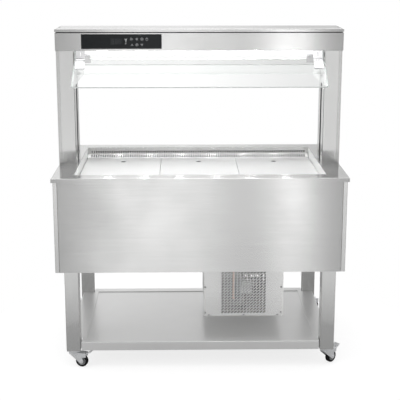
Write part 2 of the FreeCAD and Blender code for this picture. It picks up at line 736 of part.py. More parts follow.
def vent_slot(centre):
    """One slanted oblong slot through the unit's front cover."""
    half = (VENT_SLOT - VENT_SLOT_WIDTH) / 2
    along = Vector(cos(radians(VENT_ANGLE)), 0, sin(radians(VENT_ANGLE)))
    depth = 6 * THIN_SHEET
    ends = [rod(centre + along * (half * way), VENT_SLOT_WIDTH / 2, depth, Y_AXIS) for way in (-1, 1)]
    width = VENT_SLOT_WIDTH / 2
    bar = box((-half, half), (-depth / 2, depth / 2), (-width, width))
    bar.rotate(ORIGIN, Y_AXIS, -VENT_ANGLE)
    bar.translate(centre)
    return fuse([bar] + ends)


def condenser_cover():
    """The unit's front cover: a sheet with folded edges and a field of slanted slots."""
    outer = box(UNIT_X, (UNIT_Y[0], UNIT_Y[0] + RETURN), (UNIT_BOTTOM, UNIT_TOP))
    inner_x = (UNIT_X[0] + THIN_SHEET, UNIT_X[1] - THIN_SHEET)
    inner_y = (UNIT_Y[0] + THIN_SHEET, UNIT_Y[0] + RETURN)
    cover = outer.cut(box(inner_x, inner_y, (UNIT_BOTTOM + THIN_SHEET, UNIT_TOP - THIN_SHEET)))
    slots = []
    for column in range(VENT_COLUMNS):
        x = VENT_X + (column - (VENT_COLUMNS - 1) / 2) * VENT_PITCH_X
        for row in range(VENT_ROWS):
            slots.append(vent_slot(Vector(x, UNIT_Y[0], VENT_BOTTOM + row * VENT_PITCH_Z)))
    cover = cover.cut(Part.makeCompound(slots))
    return drill(cover, unit_screw_places(), Y_AXIS)


def condenser_housing():
    """The unit's tray and back: floor, sides and a slotted back, open at the front and top."""
    x = UNIT_X
    y = (UNIT_Y[0] + RETURN, UNIT_Y[1])
    outer = box(x, y, (UNIT_BOTTOM, UNIT_TOP))
    inner = box((x[0] + THIN_SHEET, x[1] - THIN_SHEET), (y[0], y[1] - THIN_SHEET),
                (UNIT_BOTTOM + THIN_SHEET, UNIT_TOP))
    housing = outer.cut(inner)
    flange_x = (x[0] + THIN_SHEET, x[1] - THIN_SHEET)
    slots = []
    for row in range(REAR_VENT_ROWS):
        z = UNIT_BOTTOM + 24 + row * REAR_VENT_PITCH
        for centre in (UNIT_X[0] + REAR_VENT_INSET, UNIT_X[1] - REAR_VENT_INSET):
            slot_x = (centre - REAR_VENT_HALF_LENGTH, centre + REAR_VENT_HALF_LENGTH)
            slots.append(box(slot_x, (y[1] - 5, y[1] + 1), (z, z + REAR_VENT_HEIGHT)))
    top = box(flange_x, (y[1] - RETURN, y[1] - THIN_SHEET), (UNIT_TOP - THIN_SHEET, UNIT_TOP))
    housing = fuse([housing, top])
    return housing.cut(Part.makeCompound(slots))


def suction_start():
    """Where the suction pipe leaves the stub on the compressor."""
    return Vector(POT_CENTRE[0] + POT_RADIUS * 0.4, POT_CENTRE[1] - POT_RADIUS, SUCTION_Z)


def compressor():
    """The hermetic compressor: a domed pot on a base plate, with its terminal box."""
    x, y = POT_CENTRE
    floor = UNIT_BOTTOM + THIN_SHEET
    base_top = floor + FOOT_HEIGHT + BASE_SHEET
    pot = Part.makeCylinder(POT_RADIUS, POT_HEIGHT, Vector(x, y, base_top))
    pot = pot.makeFillet(POT_DOME, [edge for edge in pot.Edges if len(edge.Vertexes) == 1])
    base_x = (x - BASE_HALF[0], x + BASE_HALF[0])
    base_y = (y - BASE_HALF[1], y + BASE_HALF[1])
    base = box(base_x, base_y, (floor + FOOT_HEIGHT, base_top))
    seam = Part.makeCylinder(POT_RADIUS + 3, 5, Vector(x, y, floor + POT_SEAM))
    skirt = Part.makeCylinder(POT_RADIUS - 20, 12, Vector(x, y, floor + FOOT_HEIGHT + 1))
    terminal = box((x + 50, x + 106), (y - 34, y + 20), (floor + 64, floor + 96))
    start = Vector(suction_start().x, y, SUCTION_Z)
    stub = Part.makeCylinder(SUCTION_RADIUS + 1.5, y - suction_start().y, start, -Y_AXIS)
    return fuse([pot, base, seam, skirt, terminal, stub])


def compressor_feet():
    """Four rubber feet under the compressor's base plate."""
    floor = UNIT_BOTTOM + THIN_SHEET
    reach_x = BASE_HALF[0] - FOOT_INSET[0]
    reach_y = BASE_HALF[1] - FOOT_INSET[1]
    feet = []
    for side in (-1, 1):
        for end in (-1, 1):
            place = Vector(POT_CENTRE[0] + side * reach_x, POT_CENTRE[1] + end * reach_y, floor)
            feet.append(Part.makeCylinder(FOOT_RADIUS, FOOT_HEIGHT, place))
    return Part.makeCompound(feet)


def finned_coil(x, y, z, fin_pitch):
    """A heat exchanger: thin fins across one tube that winds up through them."""
    middle = (y[0] + y[1]) / 2
    fins = []
    for i in range(int((x[1] - x[0]) / fin_pitch) + 1):
        start = x[0] + i * fin_pitch
        fins.append(box((start, start + FIN), y, z))
    runs = []
    level = z[0] + COIL_TURN
    while level < z[1] - COIL_TURN:
        runs.append(level)
        level += COIL_TURN
    tubes = [rod(Vector((x[0] + x[1]) / 2, middle, level), COIL_TUBE, x[1] - x[0], X_AXIS) for level in runs]
    for i in range(len(runs) - 1):
        end, way = (x[1], 1) if i % 2 == 0 else (x[0], -1)
        height = (runs[i] + runs[i + 1]) / 2
        ring = Part.makeTorus(COIL_TURN / 2, COIL_TUBE, Vector(end, middle, height), Y_AXIS)
        keep = box(sorted((end, end + way * COIL_TURN)), y, (height - COIL_TURN, height + COIL_TURN))
        tubes.append(ring.common(keep))
    return fuse(fins + tubes)


def fan_frame(centre, radius, depth):
    """A square fan frame round its blades, with struts, the motor and its shaft."""
    half = radius + FAN_BORDER
    clearance = 4
    frame = box((-half, half), (-depth / 2, depth / 2), (-half, half))
    frame = frame.cut(rod(ORIGIN, radius + clearance, depth, Y_AXIS))
    back = depth / 2
    reach = radius + clearance + 2
    struts = []
    for turn in (45, 135):
        strut = box((-reach, reach), (back - 4, back), (-4, 4))
        strut.rotate(ORIGIN, Y_AXIS, turn)
        struts.append(strut)
    motor = Part.makeCylinder(radius * 0.3, 4 + depth * 0.3, Vector(0, back, 0), -Y_AXIS)
    shaft = Part.makeCylinder(FAN_SHAFT, depth, Vector(0, back, 0), -Y_AXIS)
    frame = fuse([frame, motor, shaft] + struts)
    frame.translate(centre)
    return frame


def fan_blades(centre, radius, depth):
    """The fan's hub and its pitched blades, bored to run on the motor's shaft."""
    hub_depth = depth * 0.5
    front = -depth / 2 + 1
    hub = Part.makeCylinder(radius * 0.3, hub_depth, Vector(0, front, 0), Y_AXIS)
    blades = []
    for i in range(FAN_BLADES):
        chord = hub_depth * 1.1
        blade = box((radius * 0.2, radius), (-0.8, 0.8), (-chord / 2, chord / 2))
        blade.rotate(ORIGIN, X_AXIS, FAN_PITCH_ANGLE)
        blade.translate(Vector(0, front + hub_depth / 2, 0))
        blade.rotate(ORIGIN, Y_AXIS, i * 360 / FAN_BLADES)
        blades.append(blade)
    fan = fuse([hub] + blades)
    fan = fan.cut(Part.makeCylinder(FAN_SHAFT + RUNNING, depth * 2, Vector(0, -depth, 0), Y_AXIS))
    fan.translate(centre)
    return fan


def unit_fan_place():
    """The middle of the condenser's fan."""
    return Vector(VENT_X, UNIT_FAN_Y, UNIT_BOTTOM + UNIT_FAN_RISE)


def cooling_fan_place(side):
    """The middle of one of the two fans behind the well's cooling coil."""
    return Vector(side * COOLING_FAN_X, -14, COOLING_FAN_Z)


def bent_pipe(points, radius, bend):
    """A round pipe along straight runs, with a quarter bend at each corner."""
    edges = []
    start = points[0]
    for before, corner, after in zip(points, points[1:], points[2:]):
        into = (corner - before).normalize()
        out = (after - corner).normalize()
        first = corner - into * bend
        last = corner + out * bend
        middle = corner + (out - into) * (bend * (1 - 1 / sqrt(2)))
        edges.append(Part.LineSegment(start, first).toShape())
        edges.append(Part.Arc(first, middle, last).toShape())
        start = last
    edges.append(Part.LineSegment(start, points[-1]).toShape())
    direction = (points[1] - points[0]).normalize()
    profile = Part.Wire(Part.makeCircle(radius, points[0], direction))
    return Part.Wire(edges).makePipeShell([profile], True, False)


def refrigerant_pipes():
    """The copper suction and liquid pipes from the unit up to the well's cooling coil."""
    low = suction_start()
    suction, liquid = pipe_places()
    coil_z = WELL_FLOOR + 120
    coil_y = WELL_COIL_Y[0]
    pipe_y = low.y - 2 * PIPE_BEND
    cross_z = PIPE_TURN_Z - 18
    first = [low, Vector(low.x, pipe_y, low.z), Vector(low.x, pipe_y, cross_z),
             Vector(suction.x, suction.y, cross_z), Vector(suction.x, suction.y, coil_z),
             Vector(suction.x, coil_y, coil_z)]
    middle = (UNIT_COIL_Y[0] + UNIT_COIL_Y[1]) / 2
    start = Vector(UNIT_COIL_X[1] - 30, middle, UNIT_COIL_TOP)
    second = [start, Vector(start.x, start.y, PIPE_TURN_Z), Vector(liquid.x, start.y, PIPE_TURN_Z),
              Vector(liquid.x, liquid.y, PIPE_TURN_Z), Vector(liquid.x, liquid.y, coil_z),
              Vector(liquid.x, coil_y, coil_z)]
    pipes = [bent_pipe(first, SUCTION_RADIUS, PIPE_BEND), bent_pipe(second, LIQUID_RADIUS, PIPE_BEND)]
    return Part.makeCompound(pipes)


# Casters, built with the kingpin on the Z axis and the wheel trailing along +X

def caster_place(shape, corner):
    """Turn a caster piece to its trailing direction and put it under its leg."""
    side, end = CORNERS[corner]
    shape.rotate(ORIGIN, Z_AXIS, CASTER_TURN[corner])
    shape.translate(Vector(side * LEG_X, end * LEG_Y, 0))
    return shape


def caster_plate():
    """The top plate that closes the leg's foot, with the riveted kingpin."""
    half = LEG / 2 - 1.5
    plate = box((-half, half), (-half, half), (LEG_BOTTOM - CASTER_PLATE, LEG_BOTTOM))
    pin = Part.makeCylinder(KINGPIN_RADIUS, LEG_BOTTOM - KINGPIN_BOTTOM, Vector(0, 0, KINGPIN_BOTTOM))
    head = Part.makeCylinder(KINGPIN_HEAD_RADIUS, KINGPIN_HEAD, Vector(0, 0, KINGPIN_BOTTOM - 2))
    return fuse([plate, pin, head])


def fork_cheek():
    """One stamped side of the fork, from the bearing down to the axle."""
    y = (FORK_HALF_WIDTH - FORK_SHEET, FORK_HALF_WIDTH)
    eye = Part.makeCylinder(FORK_EYE, FORK_SHEET, Vector(TRAIL, y[0], WHEEL_RADIUS), Y_AXIS)
    return fuse([prism_xz(FORK_OUTLINE, y), eye])


def caster_fork():
    """The swivelling fork with its bearing cup, and the riveted axle."""
    cheek = fork_cheek()
    crown = box(FORK_CROWN, (-FORK_HALF_WIDTH, FORK_HALF_WIDTH), (FORK_TOP - FORK_SHEET, FORK_TOP))
    cup_height = LEG_BOTTOM - CASTER_PLATE - CUP_GAP - FORK_TOP
    cup = Part.makeCylinder(CUP_RADIUS, cup_height, Vector(0, 0, FORK_TOP))
    top_edge = [e for e in cup.Edges if e.CenterOfMass.z > FORK_TOP + 1 and len(e.Vertexes) == 1]
    cup = cup.makeFillet(2, top_edge)
    fork = fuse([cheek, mirrored_y(cheek), crown, cup])
    bore = Part.makeCylinder(KINGPIN_RADIUS + RUNNING, 30, Vector(0, 0, FORK_TOP - 10))
    axle_centre = Vector(TRAIL, 0, WHEEL_RADIUS)
    axle_hole = rod(axle_centre, AXLE_RADIUS, 4 * FORK_HALF_WIDTH, Y_AXIS)
    pedal_centre = Vector(PEDAL_PIVOT[0], 0, PEDAL_PIVOT[1])
    pedal_hole = rod(pedal_centre, PEDAL_STUB + RUNNING, 4 * FORK_HALF_WIDTH, Y_AXIS)
    fork = fork.cut(bore).cut(axle_hole).cut(pedal_hole)
    axle = rod(axle_centre, AXLE_RADIUS, 2 * FORK_HALF_WIDTH, Y_AXIS)
    head_centre = axle_centre + Y_AXIS * (FORK_HALF_WIDTH + RIVET_HEAD / 2)
    head = rod(head_centre, RIVET_RADIUS, RIVET_HEAD, Y_AXIS)
    return Part.makeCompound([fork, fuse([axle, head, mirrored_y(head)])])


def caster_wheel():
    """The wheel: a rounded tyre round a dished hub, bored for its axle."""
    centre = Vector(TRAIL, 0, WHEEL_RADIUS)
    tyre = rod(centre, WHEEL_RADIUS, WHEEL_WIDTH, Y_AXIS)
    tyre = tyre.makeFillet(TYRE_SHOULDER, [edge for edge in tyre.Edges if len(edge.Vertexes) == 1])
    boss, rim = HUB_RECESS
    for way in (-1, 1):
        face = centre + Y_AXIS * (way * WHEEL_WIDTH / 2)
        ring = rod(face, rim, 2 * HUB_RECESS_DEPTH, Y_AXIS).cut(rod(face, boss, 2 * HUB_RECESS_DEPTH, Y_AXIS))
        tyre = tyre.cut(ring)
    return tyre.cut(rod(centre, AXLE_RADIUS + RUNNING, 2 * WHEEL_WIDTH, Y_AXIS))


def brake_pedal():
    """The foot brake: a tongue and pad on a barrel whose stubs turn in the fork."""
    pivot = Vector(PEDAL_PIVOT[0], 0, PEDAL_PIVOT[1])
    half = PEDAL_SHEET / 2
    barrel = rod(pivot, PEDAL_BARREL, 20, Y_AXIS)
    stubs = rod(pivot, PEDAL_STUB, 2 * FORK_HALF_WIDTH, Y_AXIS)
    tongue = box((0, 14), (-8, 8), (-half, half))
    pad = box((10, 32), (-13, 13), (-half, half))
    pad = rounded(pad, 1.2, lambda p: p.z > 1)
    toe = box((-half, half), (-7, 7), (-PEDAL_TOE, 0))
    toe.rotate(ORIGIN, Y_AXIS, -30)
    arm = fuse([tongue, pad])
    arm.rotate(ORIGIN, Y_AXIS, -PEDAL_SLOPE)
    lever = fuse([arm, toe])
    lever.translate(pivot)
    return fuse([barrel, stubs, lever])


# Fasteners

def panel_screws():
    """All the dome-head screws, with the spacers behind the glass cheeks."""
    screws = [screw(place, -Y_AXIS) for place in unit_screw_places()]
    screws += [screw(place, Z_AXIS) for place in lid_screw_places()]
    for side in (-1, 1):
        front, back = post_screw_places(side)
        screws.append(screw(front, -Y_AXIS))
        screws.append(screw(back, Y_AXIS))
        for place in cheek_screw_places(side):
            screws.append(screw(place, X_AXIS * -side))
            screws.append(cheek_spacer(place, side))
        for end in (-1, 1):
            screws += [screw(place, -Z_AXIS) for place in bracket_screws(side, end)]
    return Part.makeCompound(screws)


os.makedirs("parts", exist_ok=True)

save("worktop", worktop())
save("well_liner", well_liner())
save("insulation", insulation())
save("air_outlet_grille", air_grille())
save("air_return_grille", mirrored_y(air_grille()))
for node, number in (("floor_plate_left", -1), ("floor_plate_middle", 0), ("floor_plate_right", 1)):
    save(node, floor_plate(number))
save("front_panel", front_panel())
save("rear_panel", mirrored_y(front_panel()))
save("side_panel_right", side_panel())
save("side_panel_left", mirrored_x(side_panel()))
save("bottom_panel", bottom_panel())
save("drain_pipe", drain_pipe())

for corner in CORNERS:
    save("leg_" + corner, leg(corner))
save("lower_shelf", lower_shelf())

save("post_right", post())
save("post_left", mirrored_x(post()))
save("post_cover_right", post_cover())
save("post_cover_left", mirrored_x(post_cover()))
save("canopy_shell", canopy_shell())
save("canopy_lid", canopy_lid())
save("led_diffuser", led_diffuser())
save("led_strip", led_strip())
save("control_panel", control_panel())
save("control_board", control_board())

save("guard_cheek_right", guard_cheek())
save("guard_cheek_left", mirrored_x(guard_cheek()))
clamps = Part.makeCompound([guard_clamp(-1), guard_clamp(1)])
brackets = [guard_bracket(-1), guard_bracket(1)]
save("guard_rear_pane", guard_pane())
save("guard_front_pane", mirrored_y(guard_pane()))
save("guard_rear_clamps", clamps)
save("guard_front_clamps", mirrored_y(clamps))
save("guard_hinge_brackets", Part.makeCompound(brackets + [mirrored_y(part) for part in brackets]))

save("evaporator_coil", finned_coil((-300, 300), WELL_COIL_Y, (WELL_FLOOR, 705), 12))
for node, side in (("evaporator_fan_left", -1), ("evaporator_fan_right", 1)):
    save(node, fan_blades(cooling_fan_place(side), COOLING_FAN_RADIUS, 30))
frames = [fan_frame(cooling_fan_place(side), COOLING_FAN_RADIUS, 32) for side in (-1, 1)]
save("evaporator_fan_motors", Part.makeCompound(frames))

save("condenser_housing", condenser_housing())
save("condenser_cover", condenser_cover())
save("compressor", compressor())
save("compressor_feet", compressor_feet())
save("condenser_coil", finned_coil(UNIT_COIL_X, UNIT_COIL_Y, (UNIT_BOTTOM + THIN_SHEET, UNIT_COIL_TOP), 9))
save("condenser_fan_motor", fan_frame(unit_fan_place(), UNIT_FAN_RADIUS, 40))
save("condenser_fan_blades", fan_blades(unit_fan_place(), UNIT_FAN_RADIUS, 38))
save("refrigerant_pipes", refrigerant_pipes())

plates = []
for corner, (side, end) in CORNERS.items():
    plate = caster_plate()
    plate.translate(Vector(side * LEG_X, end * LEG_Y, 0))
    plates.append(plate)
    save("caster_fork_" + corner, caster_place(caster_fork(), corner))
    save("caster_wheel_" + corner, caster_place(caster_wheel(), corner))
save("caster_plates", Part.makeCompound(plates))
for side in ("left", "right"):
    save("brake_pedal_" + side, caster_place(brake_pedal(), "front_" + side))

save("panel_screws", panel_screws())
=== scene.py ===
import json
from math import atan2, cos, pi, radians, sin, tau

import bmesh
import bpy
from mathutils import Matrix, Vector


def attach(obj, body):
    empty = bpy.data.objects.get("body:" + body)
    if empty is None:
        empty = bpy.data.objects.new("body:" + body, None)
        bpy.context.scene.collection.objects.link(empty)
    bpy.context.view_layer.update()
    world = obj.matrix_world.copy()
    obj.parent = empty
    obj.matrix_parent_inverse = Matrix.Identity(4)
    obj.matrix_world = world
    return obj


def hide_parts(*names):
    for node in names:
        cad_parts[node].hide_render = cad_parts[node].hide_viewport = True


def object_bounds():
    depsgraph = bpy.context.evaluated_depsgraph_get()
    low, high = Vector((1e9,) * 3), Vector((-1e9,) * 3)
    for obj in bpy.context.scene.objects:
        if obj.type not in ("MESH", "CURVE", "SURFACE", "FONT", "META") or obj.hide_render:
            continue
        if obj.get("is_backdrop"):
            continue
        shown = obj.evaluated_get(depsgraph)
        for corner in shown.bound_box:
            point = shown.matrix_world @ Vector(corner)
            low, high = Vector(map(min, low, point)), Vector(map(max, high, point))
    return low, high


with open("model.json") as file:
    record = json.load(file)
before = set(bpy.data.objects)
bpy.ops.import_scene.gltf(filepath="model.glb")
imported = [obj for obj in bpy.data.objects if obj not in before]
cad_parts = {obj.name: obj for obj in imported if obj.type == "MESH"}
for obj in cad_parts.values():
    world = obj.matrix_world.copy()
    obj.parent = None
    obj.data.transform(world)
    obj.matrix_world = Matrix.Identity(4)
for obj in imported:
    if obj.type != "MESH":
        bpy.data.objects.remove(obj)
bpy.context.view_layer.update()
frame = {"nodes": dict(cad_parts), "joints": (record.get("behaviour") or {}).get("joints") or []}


# Casters: the tyres
# A moulded rubber tyre round a grey nylon hub, with a raised boss that turns on the axle.
# One wheel is turned from a disc, and a copy goes under each leg.

def new_finish(name, metallic, roughness):
    """A material with its shader, and its even metallic and roughness values set on it."""
    finish = bpy.data.materials.new(name)
    finish.use_nodes = True
    shader = finish.node_tree.nodes["Principled BSDF"]
    shader.inputs["Metallic"].default_value = metallic
    shader.inputs["Roughness"].default_value = roughness
    return finish, shader


def add_node(finish, kind, **settings):
    """A node in a finish, with its settings."""
    node = finish.node_tree.nodes.new("ShaderNode" + kind)
    for name, value in settings.items():
        setattr(node, name, value)
    return node


def stretched(finish, scale, turn=(0, 0, 0)):
    """Coordinates on the object in metres, stretched by a scale along each axis."""
    place = add_node(finish, "TexCoord")
    mapping = add_node(finish, "Mapping")
    mapping.inputs["Scale"].default_value = scale
    mapping.inputs["Rotation"].default_value = turn
    finish.node_tree.links.new(place.outputs["Object"], mapping.inputs["Vector"])
    return mapping.outputs["Vector"]


def mottle(finish, scale, detail=3.0, seed=0.0):
    """Soft noise on a surface: a number from 0 to 1 with the given scales."""
    noise = add_node(finish, "TexNoise", noise_dimensions="4D")
    noise.inputs["Scale"].default_value = 1.0
    noise.inputs["Detail"].default_value = detail
    noise.inputs["W"].default_value = seed
    finish.node_tree.links.new(stretched(finish, scale), noise.inputs["Vector"])
    return noise.outputs["Fac"]


def vary(finish, amount, socket, low, high, span=(0.3, 0.7)):
    """Drive a number on the shader between two values by a pattern."""
    scale = add_node(finish, "MapRange")
    scale.inputs["From Min"].default_value = span[0]
    scale.inputs["From Max"].default_value = span[1]
    scale.inputs["To Min"].default_value = low
    scale.inputs["To Max"].default_value = high
    finish.node_tree.links.new(amount, scale.inputs["Value"])
    finish.node_tree.links.new(scale.outputs["Result"], socket)


def tint(finish, amount, socket, colours, stops=(0.3, 0.7)):
    """Drive a colour on the shader between two or more colours by a pattern."""
    ramp = add_node(finish, "ValToRGB")
    steps = ramp.color_ramp.elements
    steps[0].position, steps[1].position = stops[0], stops[-1]
    steps[0].color, steps[1].color = (*colours[0], 1), (*colours[-1], 1)
    for stop, colour in zip(stops[1:-1], colours[1:-1]):
        steps.new(stop).color = (*colour, 1)
    finish.node_tree.links.new(amount, ramp.inputs["Fac"])
    finish.node_tree.links.new(ramp.outputs["Color"], socket)


def emboss(finish, shader, amount, depth, strength=0.5, before=None):
    """Raise the surface by a pattern, over an earlier relief if there is one."""
    bump = add_node(finish, "Bump")
    bump.inputs["Strength"].default_value = strength
    bump.inputs["Distance"].default_value = depth
    finish.node_tree.links.new(amount, bump.inputs["Height"])
    if before:
        finish.node_tree.links.new(before.outputs["Normal"], bump.inputs["Normal"])
    finish.node_tree.links.new(bump.outputs["Normal"], shader.inputs["Normal"])
    return bump


def rubber(name, dark, pale):
    """Moulded rubber: near black, dull, with floor dust caught in its fine grain."""
    finish, shader = new_finish(name, 0.0, 0.62)
    shader.inputs["Specular IOR Level"].default_value = 0.2
    dust = mottle(finish, (60, 60, 60), 6.0, 2.0)
    tint(finish, dust, shader.inputs["Base Color"], (dark, dark, pale), (0.3, 0.55, 0.85))
    vary(finish, dust, shader.inputs["Roughness"], 0.5, 0.8)
    emboss(finish, shader, mottle(finish, (1400, 1400, 1400), 2.0), 0.0001, 0.4)
    return finish


def hard_plastic(name, colour, worn, roughness):
    """Injection-moulded plastic with a fine spark-eroded grain and slight scuffs."""
    finish, shader = new_finish(name, 0.0, roughness)
    scuffs = mottle(finish, (25, 25, 25), 8.0, 5.0)
    tint(finish, scuffs, shader.inputs["Base Color"], (colour, worn), (0.4, 0.8))
    vary(finish, scuffs, shader.inputs["Roughness"], roughness - 0.08, roughness + 0.12)
    emboss(finish, shader, mottle(finish, (2500, 2500, 2500), 2.0), 0.00005, 0.35)
    return finish


def dress(piece, finish):
    """Give a piece one finish all over."""
    piece.data.materials.clear()
    piece.data.materials.append(finish)


def let_go():
    """Select nothing, so that an operator acts only on what comes next."""
    bpy.ops.object.select_all(action="DESELECT")


def edit(piece):
    """Open a piece in edit mode, alone."""
    let_go()
    bpy.context.view_layer.objects.active = piece
    piece.select_set(True)
    bpy.ops.object.mode_set(mode="EDIT")


def close():
    """Leave edit mode."""
    bpy.ops.object.mode_set(mode="OBJECT")


def pick(piece, faces=None, edges=None):
    """In edit mode, select the faces or the edges that pass a test, and nothing else."""
    bpy.ops.mesh.select_mode(type="FACE" if faces else "EDGE")
    bpy.ops.mesh.select_all(action="DESELECT")
    mesh = bmesh.from_edit_mesh(piece.data)
    for face in mesh.faces:
        if faces and faces(face):
            face.select_set(True)
    for edge in mesh.edges:
        if edges and edges(edge):
            edge.select_set(True)
    bmesh.update_edit_mesh(piece.data)


def push(distance):
    """Extrude the picked faces along their own normals."""
    bpy.ops.mesh.extrude_region_shrink_fatten(TRANSFORM_OT_shrink_fatten={"value": distance})


def soften(piece, width, segments=2, angle=40):
    """Round a piece's sharp edges and shade its curved faces smoothly."""
    bevel = piece.modifiers.new("edges", "BEVEL")
    bevel.width = width
    bevel.segments = segments
    bevel.limit_method = "ANGLE"
    bevel.angle_limit = radians(angle)
    bevel.harden_normals = True
    let_go()
    bpy.context.view_layer.objects.active = piece
    piece.select_set(True)
    bpy.ops.object.modifier_apply(modifier=bevel.name)
    bpy.ops.object.shade_smooth_by_angle(angle=radians(35))


def settle(piece, place):
    """Put a piece where a matrix says and leave the place in its mesh."""
    piece.data.transform(place)
    if place.is_negative:
        piece.data.flip_normals()
    piece.data.update()


def copy_of(piece, name):
    """A copy with a mesh of its own."""
    twin = piece.copy()
    twin.data = piece.data.copy()
    twin.name = name
    bpy.context.scene.collection.objects.link(twin)
    return twin


def disc(name, radius, depth, sides=64, place=(0, 0, 0)):
    """A short cylinder round the Y axis, to be shaped further."""
    let_go()
    bpy.ops.mesh.primitive_cylinder_add(
        vertices=sides, radius=radius, depth=depth, location=place, rotation=(pi / 2, 0, 0))
    piece = bpy.context.active_object
    piece.name = name
    bpy.ops.object.transform_apply(location=True, rotation=True, scale=True)
    return piece


CORNERS = ("front_left", "front_right", "rear_left", "rear_right")
WHEEL_RADIUS = 0.025
WHEEL_WIDTH = 0.018
TYRE_WALL = 0.0075
TYRE_SHOULDER = 0.0042
TYRE_STEP = 0.0008
TYRE_BEAD = 0.0006
TYRE_SEAT = 0.006
HUB_GAP = 0.0002
HUB_RECESS = 0.0024
HUB_RIM = 0.0018
HUB_DISH = 0.0045
HUB_ROUND = 0.0004
BOSS_RADIUS = 0.0075
BOSS_HEIGHT = 0.0055
AXLE_RIM = 0.0020
AXLE_DIMPLE = 0.0006
SHARP_TURN = 1.0

tyre_rubber = rubber("tyre rubber", (0.006, 0.006, 0.007), (0.02, 0.019, 0.018))
hub_nylon = hard_plastic("grey hub nylon", (0.32, 0.33, 0.34), (0.42, 0.43, 0.43), 0.42)

tyre = disc("tyre", WHEEL_RADIUS, WHEEL_WIDTH)
edit(tyre)
pick(tyre, edges=lambda e: abs(e.calc_face_angle(0)) > SHARP_TURN)
bpy.ops.mesh.bevel(offset=TYRE_SHOULDER, segments=5, affect="EDGES")
pick(tyre, faces=lambda f: abs(f.normal.y) > 0.95 and f.calc_area() > 1e-4)
bpy.ops.mesh.inset(thickness=TYRE_WALL - TYRE_SHOULDER)
push(-TYRE_STEP)
bpy.ops.mesh.inset(thickness=TYRE_BEAD)
pick(tyre, faces=lambda f: abs(f.normal.y) > 0.95 and f.calc_area() > 1e-4)
push(-TYRE_SEAT)
close()
bpy.ops.object.shade_smooth_by_angle(angle=radians(35))

hub = disc("hub", WHEEL_RADIUS - TYRE_WALL - HUB_GAP, WHEEL_WIDTH - HUB_RECESS)
edit(hub)
pick(hub, faces=lambda f: abs(f.normal.y) > 0.95)
bpy.ops.mesh.inset(thickness=HUB_RIM)
push(-HUB_DISH)
bpy.ops.mesh.inset(thickness=WHEEL_RADIUS - TYRE_WALL - HUB_GAP - HUB_RIM - BOSS_RADIUS)
push(BOSS_HEIGHT)
bpy.ops.mesh.inset(thickness=AXLE_RIM)
push(-AXLE_DIMPLE)
close()
soften(hub, HUB_ROUND)

joints = {joint["name"]: joint for joint in frame["joints"]}
for corner in CORNERS:
    joint = joints["wheel_spin_" + corner]
    axle = Vector(joint["axis"])
    turn = Matrix.Rotation(atan2(-axle.x, axle.y), 4, "Z")
    place = Matrix.Translation(joint["pos_m"]) @ turn
    for shape, finish, slot in (
            (tyre, tyre_rubber, "black_rubber_tyre"), (hub, hub_nylon, "grey_plastic")):
        piece = copy_of(shape, "wheel_" + shape.name + "_" + corner)
        settle(piece, place)
        dress(piece, finish)
        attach(piece, "wheel_" + corner)
        if shape is tyre:
            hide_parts("caster_wheel_" + corner)
for shape in (tyre, hub):
    bpy.data.objects.remove(shape)


# Casters: forks, plates and brake pedals
# Pressed steel, bright zinc plated, with the pale blue-grey spangle of the plating.
# The kingpin is riveted through the plate that closes the foot of each leg.

def zinc_plate(name):
    """Bright zinc plating: cloudy crystals, dull patches and fine press marks."""
    finish, shader = new_finish(name, 0.35, 0.3)
    crystals = add_node(finish, "TexVoronoi", feature="F1")
    crystals.inputs["Scale"].default_value = 1.0
    finish.node_tree.links.new(stretched(finish, (260, 260, 260)), crystals.inputs["Vector"])
    split = add_node(finish, "SeparateColor")
    finish.node_tree.links.new(crystals.outputs["Color"], split.inputs["Color"])
    tint(finish, split.outputs["Red"], shader.inputs["Base Color"],
         ((0.86, 0.87, 0.89), (0.93, 0.94, 0.95)), (0.2, 0.8))
    clouds = mottle(finish, (70, 70, 70), 5.0, 1.0)
    vary(finish, clouds, shader.inputs["Roughness"], 0.24, 0.44)
    emboss(finish, shader, mottle(finish, (500, 500, 500), 3.0), 0.0001, 0.25)
    return finish


zinc = zinc_plate("bright zinc plate")
for corner in CORNERS:
    dress(frame["nodes"]["caster_fork_" + corner], zinc)
for node in ("caster_plates", "brake_pedal_left", "brake_pedal_right"):
    dress(frame["nodes"][node], zinc)


# Legs and lower shelf
# Square stainless tube, satin ground along its length, and a folded shelf of duller steel.
# The shelf's rim is notched round the legs and welded to them.

def brushed_steel(
        name, grain, metallic=0.9, roughness=(0.17, 0.22), base=(0.74, 0.74, 0.735)):
    """Satin stainless sheet: fine grinding lines along one axis, faint hand marks."""
    finish, shader = new_finish(name, metallic, roughness[0])
    shader.inputs["Anisotropic"].default_value = 1.0
    along, across = 5.0, 900.0
    scale = tuple(along if axis == grain else across for axis in "XYZ")
    lines = mottle(finish, scale, 2.0)
    darker = tuple(0.93 * value for value in base)
    tint(finish, lines, shader.inputs["Base Color"], (darker, base), (0.3, 0.7))
    marks = mottle(finish, (6, 6, 6), 4.0, 3.0)
    vary(finish, marks, shader.inputs["Roughness"], *roughness)
    fine = tuple(along * 4 if axis == grain else across * 3 for axis in "XYZ")
    emboss(finish, shader, mottle(finish, fine, 1.0), 0.00002, 0.2)
    lie = {"X": (1, 0.02, 0.03), "Y": (0.02, 1, 0.03), "Z": (0.02, 0.03, 1)}[grain]
    surface = add_node(finish, "NewGeometry")
    spread = add_node(finish, "VectorMath", operation="CROSS_PRODUCT")
    spread.inputs[1].default_value = lie
    finish.node_tree.links.new(surface.outputs["Normal"], spread.inputs[0])
    finish.node_tree.links.new(spread.outputs["Vector"], shader.inputs["Tangent"])
    return finish


